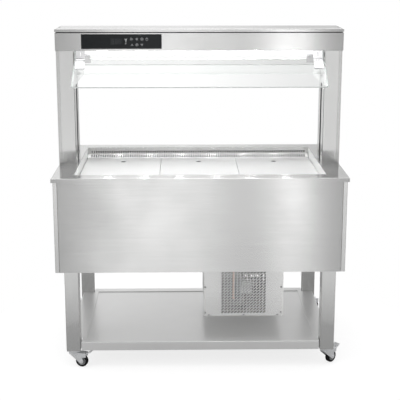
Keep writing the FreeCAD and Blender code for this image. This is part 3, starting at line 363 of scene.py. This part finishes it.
def matt_steel(name, metallic=0.6):
    """Cold-rolled stainless sheet as it leaves the mill: pale, even and nearly matt."""
    finish, shader = new_finish(name, metallic, 0.3)
    clouds = mottle(finish, (14, 14, 14), 5.0, 15.0)
    tint(finish, clouds, shader.inputs["Base Color"], ((0.89, 0.89, 0.885), (0.91, 0.91, 0.905)))
    vary(finish, clouds, shader.inputs["Roughness"], 0.30, 0.33)
    emboss(finish, shader, mottle(finish, (40, 1200, 1200), 2.0), 0.00003, 0.25)
    return finish


steel_x = brushed_steel("satin steel, ground along X", "X")
steel_y = brushed_steel("satin steel, ground along Y", "Y")
steel_z = brushed_steel("satin steel, ground along Z", "Z")
plate_steel = matt_steel("mill finish steel")
shelf_steel = matt_steel("mill finish shelf steel", 0.5)
# Darker copies of the Z-ground steel for the posts and their covers: painted shade on the same
# sheet as the legs.
shaded_cover_steel = brushed_steel(
    "cover steel, ground along Z", "Z", base=(0.56, 0.56, 0.555))
shaded_post_steel = brushed_steel(
    "post steel, ground along Z", "Z", base=(0.64, 0.64, 0.635))
soft_steel = brushed_steel(
    "coarse satin steel, ground along X", "X", 0.8, (0.19, 0.22), (0.80, 0.80, 0.795))


def painted_shade_coat(name):
    """Painted shade: a near-black dull coat on recessed faces that are only dark with shade, made
    uneven by a mottle.
    """
    finish, shader = new_finish(name, 0.0, 0.8)
    shader.inputs["Specular IOR Level"].default_value = 0.2
    # This mottle only makes the painted shade uneven; it is not real dust.
    dust = mottle(finish, (30, 30, 30), 6.0, 16.0)
    tint(finish, dust, shader.inputs["Base Color"], ((0.018, 0.018, 0.019), (0.04, 0.04, 0.041)))
    vary(finish, dust, shader.inputs["Roughness"], 0.7, 0.9)
    emboss(finish, shader, mottle(finish, (700, 700, 700), 3.0), 0.0001, 0.4)
    return finish


def coat(piece, finish, hidden):
    """Give a second finish to the faces whose middles pass a test."""
    piece.data.materials.append(finish)
    for face in piece.data.polygons:
        if hidden(face.center):
            face.material_index = len(piece.data.materials) - 1


# A near-black coat for recesses where there is only shade: painted shade.
painted_shade_finish = painted_shade_coat("near-black painted shade coat")
for corner in CORNERS:
    dress(frame["nodes"]["leg_" + corner], steel_z)
dress(frame["nodes"]["lower_shelf"], shelf_steel)


# Condensing unit
# A folded stainless housing with a slotted front; inside it a black enamelled compressor with
# a pale terminal box, on rubber feet, a fan, and a coil darkened to near black as painted shade,
# joined by copper pipe. The housing's inside faces get a near-black coat: painted shade.

def enamel(name, colour):
    """Thick baked enamel with a slight orange peel and dust on top."""
    finish, shader = new_finish(name, 0.0, 0.28)
    shader.inputs["Coat Weight"].default_value = 0.4
    shader.inputs["Coat Roughness"].default_value = 0.12
    dust = mottle(finish, (18, 18, 18), 6.0, 4.0)
    dusty = tuple(value * 2 + 0.02 for value in colour)
    tint(finish, dust, shader.inputs["Base Color"], (colour, dusty), (0.45, 0.8))
    vary(finish, dust, shader.inputs["Roughness"], 0.22, 0.5)
    emboss(finish, shader, mottle(finish, (350, 350, 350), 1.0), 0.0003, 0.15)
    return finish


def drawn_copper(name):
    """Soft copper tube, bright with brown oxide where it was brazed and handled."""
    finish, shader = new_finish(name, 1.0, 0.3)
    oxide = mottle(finish, (22, 22, 22), 6.0, 7.0)
    tint(finish, oxide, shader.inputs["Base Color"],
         ((0.82, 0.42, 0.27), (0.68, 0.33, 0.20), (0.36, 0.17, 0.10)), (0.35, 0.55, 0.8))
    vary(finish, oxide, shader.inputs["Roughness"], 0.2, 0.5)
    emboss(finish, shader, mottle(finish, (900, 900, 900), 2.0), 0.00005, 0.3)
    return finish


def fin_stock(name, colour):
    """Thin rolled aluminium, its rolling lines and a little lint on the edges."""
    finish, shader = new_finish(name, 1.0, 0.34)
    lint = mottle(finish, (90, 90, 30), 5.0, 6.0)
    dull = tuple(0.8 * value for value in colour)
    tint(finish, lint, shader.inputs["Base Color"], (colour, dull), (0.4, 0.75))
    vary(finish, lint, shader.inputs["Roughness"], 0.28, 0.5)
    emboss(finish, shader, mottle(finish, (60, 60, 2500), 1.0), 0.00004, 0.3)
    return finish


black_enamel = enamel("black enamel", (0.012, 0.012, 0.013))
copper = drawn_copper("drawn copper")
fin_aluminium = fin_stock("fin aluminium", (0.80, 0.81, 0.83))
# The coil's near-black colour is painted shade, so that the slots in front of it read dark.
coil_darkened_as_shade = fin_stock("black painted coil", (0.045, 0.045, 0.048))
foot_rubber = rubber("foot rubber", (0.015, 0.015, 0.015), (0.06, 0.058, 0.055))
black_plastic = hard_plastic(
    "black fan plastic", (0.018, 0.018, 0.02), (0.035, 0.035, 0.036), 0.45)
grey_plastic = hard_plastic("grey pipe plastic", (0.46, 0.47, 0.48), (0.55, 0.56, 0.56), 0.4)
pale_plastic = hard_plastic(
    "pale terminal box plastic", (0.78, 0.77, 0.75), (0.70, 0.69, 0.67), 0.45)

for node, finish in (
        ("condenser_housing", soft_steel), ("condenser_cover", soft_steel),
        ("compressor", black_enamel), ("compressor_feet", foot_rubber),
        ("condenser_coil", coil_darkened_as_shade),
        ("condenser_fan_motor", black_plastic), ("condenser_fan_blades", black_plastic),
        ("refrigerant_pipes", copper)):
    dress(frame["nodes"][node], finish)

TERMINAL_BOX = ((0.1740, 0.2200), (-0.0945, -0.0395), (0.2322, 0.2652))
HOUSING_INSIDE = ((0.0192, 0.3388), (-0.1898, 0.1888), (0.1687, 0.4100))


def inside(box):
    """A test for points inside a box, which is a range along each axis."""
    return lambda point: all(low < at < high for at, (low, high) in zip(point, box))


coat(frame["nodes"]["compressor"], pale_plastic, inside(TERMINAL_BOX))
# The housing's inside faces get the near-black coat: painted shade behind the slots.
for node in ("condenser_housing", "condenser_cover"):
    coat(frame["nodes"][node], painted_shade_finish, inside(HOUSING_INSIDE))


# Body: panels, foam, well and what cools it
# Folded stainless panels round a foamed steel tub. The coil and its two fans stand on the
# tub's floor, under three lift-out plates, and blow through slotted grilles front and rear,
# over channels whose insides get a near-black coat as painted shade.

def rigid_foam(name):
    """Poured polyurethane foam: cream, with fine cells and a skin where it met the tub."""
    finish, shader = new_finish(name, 0.0, 0.9)
    cells = add_node(finish, "TexVoronoi", feature="F1")
    cells.inputs["Scale"].default_value = 1.0
    finish.node_tree.links.new(stretched(finish, (900, 900, 900)), cells.inputs["Vector"])
    skin = mottle(finish, (12, 12, 12), 4.0, 8.0)
    tint(finish, skin, shader.inputs["Base Color"], ((0.80, 0.68, 0.42), (0.88, 0.80, 0.58)))
    emboss(finish, shader, cells.outputs["Distance"], 0.0006, 0.6)
    return finish


foam = rigid_foam("poured foam")
for node, finish in (
        ("front_panel", steel_x), ("rear_panel", steel_x), ("side_panel_left", steel_y),
        ("side_panel_right", steel_y), ("bottom_panel", steel_x), ("well_liner", plate_steel),
        ("air_outlet_grille", steel_x), ("air_return_grille", steel_x),
        ("floor_plate_left", plate_steel), ("floor_plate_middle", plate_steel),
        ("floor_plate_right", plate_steel), ("insulation", foam),
        ("evaporator_coil", fin_aluminium), ("evaporator_fan_motors", black_plastic),
        ("evaporator_fan_left", black_plastic), ("evaporator_fan_right", black_plastic),
        ("drain_pipe", grey_plastic), ("worktop", steel_x)):
    dress(frame["nodes"][node], finish)

CHANNEL_EDGE = 0.2262
CHANNEL_FLOOR = 0.6
# The liner's faces behind the grilles get the near-black coat: painted shade.
coat(frame["nodes"]["well_liner"], painted_shade_finish,
     lambda middle: abs(middle.y) > CHANNEL_EDGE and middle.z > CHANNEL_FLOOR)


# Posts and canopy
# Lipped channels with folded covers carry a folded box with a flat lid, all satin stainless,
# the posts and covers in darker copies of it as painted shade. The channels' insides and the
# seam under the lid get a near-black coat: painted shade.

POST_FACES = (0.5003, 0.5685)
POST_DEPTH = 0.0725
SHELL_TOP = 1.3105

for side in ("left", "right"):
    dress(frame["nodes"]["post_" + side], shaded_post_steel)
    dress(frame["nodes"]["post_cover_" + side], shaded_cover_steel)
    # The faces inside each post's channel get the near-black coat: painted shade.
    coat(frame["nodes"]["post_" + side], painted_shade_finish, lambda middle:
         abs(middle.y) < POST_DEPTH and POST_FACES[0] < abs(middle.x) < POST_FACES[1])
for node in ("canopy_shell", "canopy_lid"):
    dress(frame["nodes"][node], steel_x)
# The seam under the lid gets the near-black coat: painted shade.
coat(frame["nodes"]["canopy_shell"], painted_shade_finish, lambda middle: middle.z > SHELL_TOP)


# Light
# An opal acrylic trough under the canopy, lit by a bar with a row of lamps.

LAMPS = 6
LAMP_PITCH = 0.155
LAMP_GLOW = (1.0, 45.0)
SPOT_SHARPNESS = 8.0


def opal_acrylic(name, lamps, pitch, glow):
    """Milky acrylic, lit from inside and brighter below each lamp of the row."""
    finish, shader = new_finish(name, 0.0, 0.35)
    shader.inputs["Base Color"].default_value = (0.9, 0.9, 0.9, 1)
    place = add_node(finish, "TexCoord")
    split = add_node(finish, "SeparateXYZ")
    finish.node_tree.links.new(place.outputs["Object"], split.inputs["Vector"])
    wave = add_node(finish, "Math", operation="MULTIPLY_ADD")
    wave.inputs[1].default_value = tau / pitch
    wave.inputs[2].default_value = pi if lamps % 2 == 0 else 0.0
    finish.node_tree.links.new(split.outputs["X"], wave.inputs[0])
    swell = add_node(finish, "Math", operation="COSINE")
    finish.node_tree.links.new(wave.outputs["Value"], swell.inputs[0])
    under = add_node(finish, "Math", operation="MAXIMUM")
    under.inputs[1].default_value = 0.0
    finish.node_tree.links.new(swell.outputs["Value"], under.inputs[0])
    spot = add_node(finish, "Math", operation="POWER")
    spot.inputs[1].default_value = SPOT_SHARPNESS
    finish.node_tree.links.new(under.outputs["Value"], spot.inputs[0])
    vary(finish, spot.outputs["Value"], shader.inputs["Emission Strength"], *glow, span=(0.0, 1.0))
    tint(finish, mottle(finish, (40, 40, 40), 3.0), shader.inputs["Emission Color"],
         ((0.98, 0.99, 1.0), (1.0, 1.0, 1.0)))
    emboss(finish, shader, mottle(finish, (1200, 1200, 1200), 1.0), 0.00005, 0.2)
    return finish


opal = opal_acrylic("opal acrylic", LAMPS, LAMP_PITCH, LAMP_GLOW)
lamp_bar = fin_stock("lamp bar aluminium", (0.85, 0.85, 0.84))
dress(frame["nodes"]["led_diffuser"], opal)
dress(frame["nodes"]["led_strip"], lamp_bar)


# Controller
# A black glass front with a dark display window and two rows of grey touch signs printed
# on it, and behind it the circuit board.

def black_glass(name, colour):
    """Glass painted black on its back: deep, with a clear glossy face."""
    finish, shader = new_finish(name, 0.0, 0.12)
    shader.inputs["Specular IOR Level"].default_value = 0.15
    prints = mottle(finish, (60, 60, 60), 4.0, 9.0)
    lighter = tuple(1.25 * value for value in colour)
    tint(finish, prints, shader.inputs["Base Color"], (colour, lighter))
    vary(finish, prints, shader.inputs["Roughness"], 0.08, 0.2)
    return finish


def circuit_laminate(name):
    """Green laminate with pale tracks."""
    finish, shader = new_finish(name, 0.0, 0.4)
    tracks = add_node(finish, "TexBrick")
    tracks.inputs["Scale"].default_value = 1.0
    tracks.inputs["Color1"].default_value = (0.02, 0.12, 0.05, 1)
    tracks.inputs["Color2"].default_value = (0.03, 0.15, 0.06, 1)
    tracks.inputs["Mortar"].default_value = (0.25, 0.42, 0.2, 1)
    tracks.inputs["Mortar Size"].default_value = 0.06
    flat = stretched(finish, (220, 220, 220), (pi / 2, 0, 0))
    finish.node_tree.links.new(flat, tracks.inputs["Vector"])
    finish.node_tree.links.new(tracks.outputs["Color"], shader.inputs["Base Color"])
    emboss(finish, shader, tracks.outputs["Fac"], 0.0001, 0.5)
    return finish


panel_glass = black_glass("black panel glass", (0.012, 0.014, 0.015))
dress(frame["nodes"]["control_panel"], panel_glass)
dress(frame["nodes"]["control_board"], circuit_laminate("circuit laminate"))

PANEL_FACE = -0.0975
PRINT = 0.0003
SQUARE = 0.5 ** 0.5


def plate(name, sides, radius, x, z, turn=0.0):
    """A flat piece with a few sides on the glass front, to be shaped further."""
    let_go()
    bpy.ops.mesh.primitive_circle_add(
        vertices=sides, radius=radius, fill_type="NGON", location=(x, PANEL_FACE, z),
        rotation=(pi / 2, turn, 0))
    piece = bpy.context.active_object
    piece.name = name
    bpy.ops.object.transform_apply(location=True, rotation=True, scale=True)
    edit(piece)
    bpy.ops.mesh.select_all(action="SELECT")
    return piece


def raised():
    """Lift the picked flat piece off the glass by the thickness of a print."""
    bpy.ops.mesh.extrude_region_move(TRANSFORM_OT_translate={"value": (0, -PRINT, 0)})


def bar(x, z, length, turn, thick=0.0011):
    """A printed stroke, turned from level by an angle."""
    piece = plate("stroke", 4, SQUARE, x, z, pi / 4)
    bpy.ops.transform.resize(value=(length, 1, thick), center_override=(x, PANEL_FACE, z))
    bpy.ops.transform.rotate(value=turn, orient_axis="Y", center_override=(x, PANEL_FACE, z))
    raised()
    close()
    return piece


def ring(x, z, radius, thick=0.001):
    """A printed ring."""
    piece = plate("ring", 32, radius, x, z)
    bpy.ops.mesh.inset(thickness=thick)
    bpy.ops.mesh.delete(type="FACE")
    bpy.ops.mesh.select_all(action="SELECT")
    raised()
    close()
    return piece


def joined(name, parts):
    """Several pieces made one."""
    let_go()
    for part in parts:
        part.select_set(True)
    bpy.context.view_layer.objects.active = parts[0]
    bpy.ops.object.join()
    parts[0].name = name
    return parts[0]


TOP_ROW = 1.2874
LOW_ROW = 1.265
LAMP_KEY, FROST_KEY, CLOCK_KEY, POWER_KEY = -0.268, -0.2466, -0.2264, -0.2075
DOWN_KEY, SET_KEY, UP_KEY = -0.2655, -0.2466, -0.2264
RUNNING_MARK = -0.2895

signs = [ring(LAMP_KEY, TOP_ROW, 0.0034)]
for turn in range(8):
    reach = Vector((cos(turn * tau / 8), sin(turn * tau / 8))) * 0.0055
    signs.append(
        bar(LAMP_KEY + reach.x, TOP_ROW + reach.y, 0.0022, -turn * tau / 8, 0.0008))
for turn in range(3):
    signs.append(bar(FROST_KEY, TOP_ROW, 0.0115, turn * tau / 6 + pi / 2))
signs.append(ring(CLOCK_KEY, TOP_ROW, 0.0055))
signs.append(bar(CLOCK_KEY, TOP_ROW, 0.005, pi / 2))
signs.append(bar(CLOCK_KEY, TOP_ROW, 0.005, 0))
signs.append(ring(POWER_KEY, TOP_ROW - 0.0008, 0.0046))
signs.append(bar(POWER_KEY, TOP_ROW + 0.0035, 0.005, pi / 2, 0.0014))
for x, way in ((DOWN_KEY, -1), (UP_KEY, 1)):
    for side in (-1, 1):
        signs.append(bar(x + side * 0.0026, LOW_ROW + way * 0.0008, 0.0075, side * way * pi / 4))
    signs.append(bar(x, LOW_ROW, 0.010, pi / 2))
signs.append(ring(SET_KEY, LOW_ROW, 0.0052))
signs.append(ring(SET_KEY, LOW_ROW, 0.0022))
key_signs = joined("key_signs", signs)
dress(key_signs, hard_plastic(
    "grey printed signs", (0.52, 0.53, 0.54), (0.60, 0.61, 0.62), 0.4))

marks = [bar(RUNNING_MARK + side * 0.002, 1.285, 0.009, side * pi / 3, 0.0016)
         for side in (-1, 1)]
marks.append(bar(RUNNING_MARK, 1.278, 0.007, pi / 2, 0.0016))
marks.append(bar(RUNNING_MARK - 0.001, 1.269, 0.005, pi / 8, 0.0014))
lit_mark = joined("running_mark", marks)
dress(lit_mark, hard_plastic(
    "white running mark", (0.86, 0.87, 0.88), (0.92, 0.93, 0.94), 0.4))

DISPLAY = (-0.3275, 1.2785)
DISPLAY_SIZE = (0.049, 1, 0.029)
DISPLAY_EDGE = 0.0008
DISPLAY_ROUND = 0.0001
DIGIT_PITCH = 0.0135
SEGMENT = 0.006
SEGMENT_WIDTH = 0.0012
LEVEL_PITCH = 0.0075
DIGIT_HALF = 0.0038

window = plate("display_window", 4, SQUARE, *DISPLAY, pi / 4)
bpy.ops.transform.resize(
    value=DISPLAY_SIZE, center_override=(DISPLAY[0], PANEL_FACE, DISPLAY[1]))
bpy.ops.mesh.inset(thickness=DISPLAY_EDGE)
raised()
close()
soften(window, DISPLAY_ROUND)
dress(window, black_glass("smoked display window", (0.022, 0.025, 0.027)))
segments = []
for x in (DISPLAY[0] - DIGIT_PITCH, DISPLAY[0], DISPLAY[0] + DIGIT_PITCH):
    for level in (-1, 0, 1):
        z = DISPLAY[1] + level * LEVEL_PITCH
        segments.append(bar(x, z, SEGMENT, 0, SEGMENT_WIDTH))
    for side in (-1, 1):
        for level in (-1, 1):
            z = DISPLAY[1] + level * LEVEL_PITCH / 2
            segments.append(bar(x + side * DIGIT_HALF, z, SEGMENT, pi / 2, SEGMENT_WIDTH))
digits = joined("display_digits", segments)
settle(digits, Matrix.Translation((0, -PRINT / 2, 0)))
dress(digits, hard_plastic(
    "unlit display segments", (0.035, 0.038, 0.04), (0.045, 0.048, 0.05), 0.3))
for piece in (key_signs, lit_mark, window, digits):
    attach(piece, "frame")


# Glass guards
# Clear toughened glass with polished, faintly green edges: two fixed end cheeks and two
# sloping panes that tip up on chromed clamps and hinge brackets.

def clear_glass(name):
    """Float glass: clear, faint green, letting lamps through to what is behind it."""
    finish, shader = new_finish(name, 0.0, 0.01)
    shader.inputs["Transmission Weight"].default_value = 1.0
    shader.inputs["IOR"].default_value = 1.5
    smears = mottle(finish, (9, 9, 9), 5.0, 11.0)
    vary(finish, smears, shader.inputs["Roughness"], 0.0, 0.03)
    tint(finish, smears, shader.inputs["Base Color"], ((0.985, 1.0, 0.992), (0.995, 1.0, 0.997)))
    passing = add_node(finish, "BsdfTransparent")
    passing.inputs["Color"].default_value = (0.95, 0.97, 0.96, 1)
    path = add_node(finish, "LightPath")
    blend = add_node(finish, "MixShader")
    links = finish.node_tree.links
    links.new(path.outputs["Is Shadow Ray"], blend.inputs["Fac"])
    links.new(shader.outputs["BSDF"], blend.inputs[1])
    links.new(passing.outputs["BSDF"], blend.inputs[2])
    links.new(blend.outputs["Shader"], finish.node_tree.nodes["Material Output"].inputs["Surface"])
    return finish


def polished_chrome(name):
    """Polished chromium plate with faint wiping marks."""
    finish, shader = new_finish(name, 1.0, 0.12)
    wipes = mottle(finish, (40, 120, 40), 4.0, 12.0)
    tint(finish, wipes, shader.inputs["Base Color"], ((0.80, 0.80, 0.81), (0.86, 0.86, 0.87)))
    vary(finish, wipes, shader.inputs["Roughness"], 0.08, 0.2)
    emboss(finish, shader, mottle(finish, (300, 900, 300), 2.0), 0.00003, 0.2)
    return finish


def ground_edge(name):
    """The ground edge of a glass pane: milky pale green, scattering light."""
    finish, shader = new_finish(name, 0.0, 0.35)
    shader.inputs["Transmission Weight"].default_value = 0.2
    grain = mottle(finish, (300, 300, 300), 4.0, 14.0)
    tint(finish, grain, shader.inputs["Base Color"], ((0.86, 0.90, 0.88), (0.92, 0.95, 0.935)))
    vary(finish, grain, shader.inputs["Roughness"], 0.28, 0.45)
    return finish


def glaze(pane, clear, edge):
    """Clear glass on the two broad faces of a pane, ground glass round its edge."""
    pane.data.materials.clear()
    pane.data.materials.append(clear)
    pane.data.materials.append(edge)
    faces = pane.data.polygons
    across = max(faces, key=lambda f: f.area).normal.copy()
    for face in faces:
        face.material_index = 0 if abs(face.normal.dot(across)) > 0.9 else 1


glass = clear_glass("clear toughened glass")
glass_edge = ground_edge("ground glass edge")
chrome = polished_chrome("polished chrome")
for node in ("guard_front_pane", "guard_rear_pane", "guard_cheek_left", "guard_cheek_right"):
    glaze(frame["nodes"][node], glass, glass_edge)
for node in ("guard_front_clamps", "guard_rear_clamps", "guard_hinge_brackets"):
    dress(frame["nodes"][node], chrome)


# Screws
# Stainless dome-head screws with a hexagon socket, turned bright. One head is shaped and
# copied to each place; the spacers behind the end cheeks keep their plain round form.

def turned_steel(name):
    """Bright stainless screw steel, dulled by fine dark scratches."""
    finish, shader = new_finish(name, 1.0, 0.2)
    scratches = mottle(finish, (700, 700, 700), 4.0, 13.0)
    tint(finish, scratches, shader.inputs["Base Color"], ((0.26, 0.26, 0.26), (0.36, 0.36, 0.355)))
    vary(finish, scratches, shader.inputs["Roughness"], 0.16, 0.34)
    emboss(finish, shader, scratches, 0.00005, 0.3)
    return finish


def loose_parts(node):
    """The separate solids of a node, as pieces of their own."""
    parts = copy_of(node, node.name + "_part")
    edit(parts)
    bpy.ops.mesh.select_all(action="SELECT")
    bpy.ops.mesh.remove_doubles(threshold=0.000005)
    bpy.ops.mesh.separate(type="LOOSE")
    close()
    return list(bpy.context.selected_objects)


HEAD_RADIUS = 0.004
HEAD_HEIGHT = 0.0022
HEAD_EDGE = 0.0008
HEAD_ROUND = 0.0005
SOCKET_RADIUS = 0.0016
SOCKET_DEPTH = 0.001

head = disc("screw", HEAD_RADIUS, HEAD_HEIGHT, 24, (0, HEAD_HEIGHT / 2, 0))
edit(head)
pick(head, faces=lambda f: f.normal.y > 0.95)
bpy.ops.mesh.inset(thickness=HEAD_EDGE)
close()
socket = disc("socket", SOCKET_RADIUS, 2 * SOCKET_DEPTH, 6, (0, HEAD_HEIGHT, 0))
cut = head.modifiers.new("socket", "BOOLEAN")
cut.operation = "DIFFERENCE"
cut.object = socket
let_go()
bpy.context.view_layer.objects.active = head
head.select_set(True)
bpy.ops.object.modifier_apply(modifier=cut.name)
bpy.data.objects.remove(socket)
soften(head, HEAD_ROUND, 3, 50)

screw_steel = turned_steel("turned screw steel")
screws = []
for part in loose_parts(frame["nodes"]["panel_screws"]):
    points = [vertex.co for vertex in part.data.vertices]
    low = Vector(min(point[axis] for point in points) for axis in range(3))
    high = Vector(max(point[axis] for point in points) for axis in range(3))
    middle = (low + high) / 2
    thin = min(range(3), key=lambda axis: high[axis] - low[axis])
    if high[thin] - low[thin] > HEAD_HEIGHT * 1.5:
        screws.append(part)
        continue
    rim = [p[thin] - middle[thin] for p in points if (p - middle).length > 0.95 * HEAD_RADIUS]
    out = Vector((0, 0, 0))
    out[thin] = -1 if sum(rim) > 0 else 1
    foot = middle - out * (high[thin] - low[thin]) / 2
    turned = copy_of(head, "screw")
    settle(turned, Matrix.Translation(foot) @ out.to_track_quat("Y", "Z").to_matrix().to_4x4())
    screws.append(turned)
    bpy.data.objects.remove(part)
bpy.data.objects.remove(head)
screws = joined("dome_screws", screws)
dress(screws, screw_steel)
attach(screws, "frame")
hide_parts("panel_screws")


# Studio floor and walls
# A small pale floor that keeps the cart's shadow, in a white studio. Polished metal sees
# more of it: strip lights low in front of the cart, a grey flag over them, a darker ground.

FLOOR_RADIUS = 0.95
FLOOR_ALBEDO = 0.35
FLOOR_GLOW = 0.78
FLOOR_MIRRORED = 0.1
SKY_LIGHT = 0.65
STRIPS_SPREAD = 16


def seen_by(tree, rays):
    """1 for rays of the named kinds, 0 for the others."""
    path = tree.nodes.new("ShaderNodeLightPath")
    seen = path.outputs[rays[0]]
    for kind in rays[1:]:
        either = tree.nodes.new("ShaderNodeMath")
        either.operation = "MAXIMUM"
        tree.links.new(seen, either.inputs[0])
        tree.links.new(path.outputs[kind], either.inputs[1])
        seen = either.outputs[0]
    return seen


def ranged(tree, value, start, end, low, high):
    """A number carried from one range to another."""
    carry = tree.nodes.new("ShaderNodeMapRange")
    for name, number in (
            ("From Min", start), ("From Max", end), ("To Min", low), ("To Max", high)):
        carry.inputs[name].default_value = number
    tree.links.new(value, carry.inputs["Value"])
    return carry.outputs["Result"]


def times(tree, first, second):
    """Two grey levels multiplied."""
    product = tree.nodes.new("ShaderNodeMath")
    product.operation = "MULTIPLY"
    tree.links.new(first, product.inputs[0])
    if isinstance(second, float):
        product.inputs[1].default_value = second
    else:
        tree.links.new(second, product.inputs[1])
    return product.outputs[0]


def graded(tree, value, start, end, stops):
    """Grey levels read off between stops along a range."""
    most = max(grey for at, grey in stops)
    ramp = tree.nodes.new("ShaderNodeValToRGB")
    ramp.color_ramp.interpolation = "CARDINAL"
    steps = ramp.color_ramp.elements
    for step, (at, grey) in zip(steps, (stops[0], stops[-1])):
        step.position = (at - start) / (end - start)
        step.color = (grey / most, grey / most, grey / most, 1)
    for at, grey in stops[1:-1]:
        steps.new((at - start) / (end - start)).color = (grey / most, grey / most, grey / most, 1)
    tree.links.new(ranged(tree, value, start, end, 0, 1), ramp.inputs["Fac"])
    return times(tree, ramp.outputs["Color"], float(most))


def blended(tree, share, first, second):
    """A number between two others, by a share from 0 to 1."""
    mix = tree.nodes.new("ShaderNodeMix")
    for value, socket in ((share, 0), (first, 2), (second, 3)):
        if isinstance(value, float):
            mix.inputs[socket].default_value = value
        else:
            tree.links.new(value, mix.inputs[socket])
    return mix.outputs[0]


floor_finish = bpy.data.materials.new("pale studio floor")
floor_finish.use_nodes = True
tree = floor_finish.node_tree
tree.nodes.clear()
matte = tree.nodes.new("ShaderNodeBsdfDiffuse")
matte.inputs["Color"].default_value = (FLOOR_ALBEDO, FLOOR_ALBEDO, FLOOR_ALBEDO, 1)
white = tree.nodes.new("ShaderNodeEmission")
white.inputs["Color"].default_value = (1, 1, 1, 1)
level = blended(tree, seen_by(tree, ("Is Glossy Ray",)), times(
    tree, seen_by(tree, ("Is Camera Ray", "Is Transmission Ray")), FLOOR_GLOW), FLOOR_MIRRORED)
tree.links.new(level, white.inputs["Strength"])
both = tree.nodes.new("ShaderNodeAddShader")
surface = tree.nodes.new("ShaderNodeOutputMaterial")
tree.links.new(matte.outputs[0], both.inputs[0])
tree.links.new(white.outputs[0], both.inputs[1])
tree.links.new(both.outputs[0], surface.inputs["Surface"])

let_go()
bpy.ops.mesh.primitive_circle_add(
    vertices=96, radius=FLOOR_RADIUS, fill_type="NGON", location=(0, 0, -0.0005))
floor = bpy.context.active_object
floor.name = "studio_floor"
floor.data.materials.append(floor_finish)
floor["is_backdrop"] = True

world = bpy.data.worlds.new("studio")
bpy.context.scene.world = world
world.use_nodes = True
tree = world.node_tree
tree.nodes.clear()
place = tree.nodes.new("ShaderNodeTexCoord")
split = tree.nodes.new("ShaderNodeSeparateXYZ")
tree.links.new(place.outputs["Generated"], split.inputs["Vector"])
azimuth = tree.nodes.new("ShaderNodeMath")
azimuth.operation = "ARCTAN2"
tree.links.new(split.outputs["X"], azimuth.inputs[0])
tree.links.new(times(tree, split.outputs["Y"], -1.0), azimuth.inputs[1])
degrees = times(tree, azimuth.outputs[0], 180 / pi)
rise = split.outputs["Z"]
around = graded(tree, degrees, -180, 180, (
    (-180, 1.05), (-171, 1.05), (-120, 0.9), (-90, 1.15), (-60, 0.85), (-16, 0.92),
    (16, 0.92), (60, 0.85), (90, 1.1), (120, 0.9), (171, 0.75), (180, 1.05)))
low_strips = graded(tree, degrees, -STRIPS_SPREAD, STRIPS_SPREAD, (
    (-16, 0.9), (-8.6, 0.85), (-7, 1.25), (-2.3, 2.0), (2.8, 1.25), (5.3, 1.15), (7, 2.0),
    (8, 1.15), (9.2, 0.8), (16, 0.9)))
high_strips = graded(tree, degrees, -STRIPS_SPREAD, STRIPS_SPREAD, (
    (-16, 0.9), (-8, 0.5), (-3.5, 1.5), (0, 1.9), (3.7, 1.2), (5, 1.6), (6.3, 4.0),
    (7.6, 1.5), (9, 0.6), (13, 0.55), (16, 0.9)))
strips = blended(tree, ranged(tree, rise, -0.21, -0.13, 0, 1), low_strips, high_strips)
bands = times(tree, around, strips)
ground = graded(tree, rise, -0.5, 0.0, (
    (-0.45, 0.3), (-0.38, 0.34), (-0.36, 0.52), (-0.33, 0.72), (-0.31, 0.82), (-0.26, 0.95),
    (-0.22, 1.0)))
flag = graded(tree, rise, -0.1, 0.9, (
    (-0.05, 1.0), (0.08, 0.25), (0.4, 0.25), (0.7, 1.0)))
ahead = ranged(tree, split.outputs["Y"], -0.6, -0.9, 0, 1)
mirrored = times(tree, times(tree, bands, ground), blended(tree, ahead, 1.0, flag))
clear = blended(tree, seen_by(tree, ("Is Camera Ray", "Is Transmission Ray")), SKY_LIGHT, 1.0)
background = tree.nodes.new("ShaderNodeBackground")
background.inputs["Color"].default_value = (1, 1, 1, 1)
strength = blended(tree, seen_by(tree, ("Is Glossy Ray",)), clear, mirrored)
tree.links.new(strength, background.inputs["Strength"])
surface = tree.nodes.new("ShaderNodeOutputWorld")
tree.links.new(background.outputs[0], surface.inputs["Surface"])


# Studio lamps and camera
# One wide overhead softbox, a smaller one from the left, and a camera straight in front of
# the cart and a little above it.

def softbox(name, place, aim, size, level):
    """A large soft lamp that looks at a point and is as bright all over as its level."""
    lamp = bpy.data.lights.new(name, "AREA")
    lamp.shape = "RECTANGLE"
    lamp.size, lamp.size_y = size
    lamp.energy = level * pi * size[0] * size[1]
    holder = bpy.data.objects.new(name, lamp)
    holder.location = place
    holder.rotation_euler = (Vector(aim) - Vector(place)).to_track_quat("-Z", "Y").to_euler()
    bpy.context.scene.collection.objects.link(holder)


softbox("overhead softbox", (0.0, -0.4, 3.4), (0, 0, 0.6), (3.0, 2.4), 1.3)
softbox("left softbox", (-3.2, -2.4, 2.4), (0, 0, 0.7), (1.6, 2.2), 1.6)

CAMERA_DIP = 0.2164
CAMERA_TURN = 0.0164

camera_data = bpy.data.cameras.new("camera")
camera = bpy.data.objects.new("camera", camera_data)
bpy.context.scene.collection.objects.link(camera)
camera.location = (-0.0595, -3.8439, 1.5913)
camera.rotation_euler = (pi / 2 - CAMERA_DIP, 0, -CAMERA_TURN)
camera_data.sensor_width = 36
camera_data.lens = 85.16
camera_data.shift_y = -0.08
bpy.context.scene.camera = camera

bpy.context.scene.view_settings.view_transform = "Standard"

low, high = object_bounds()
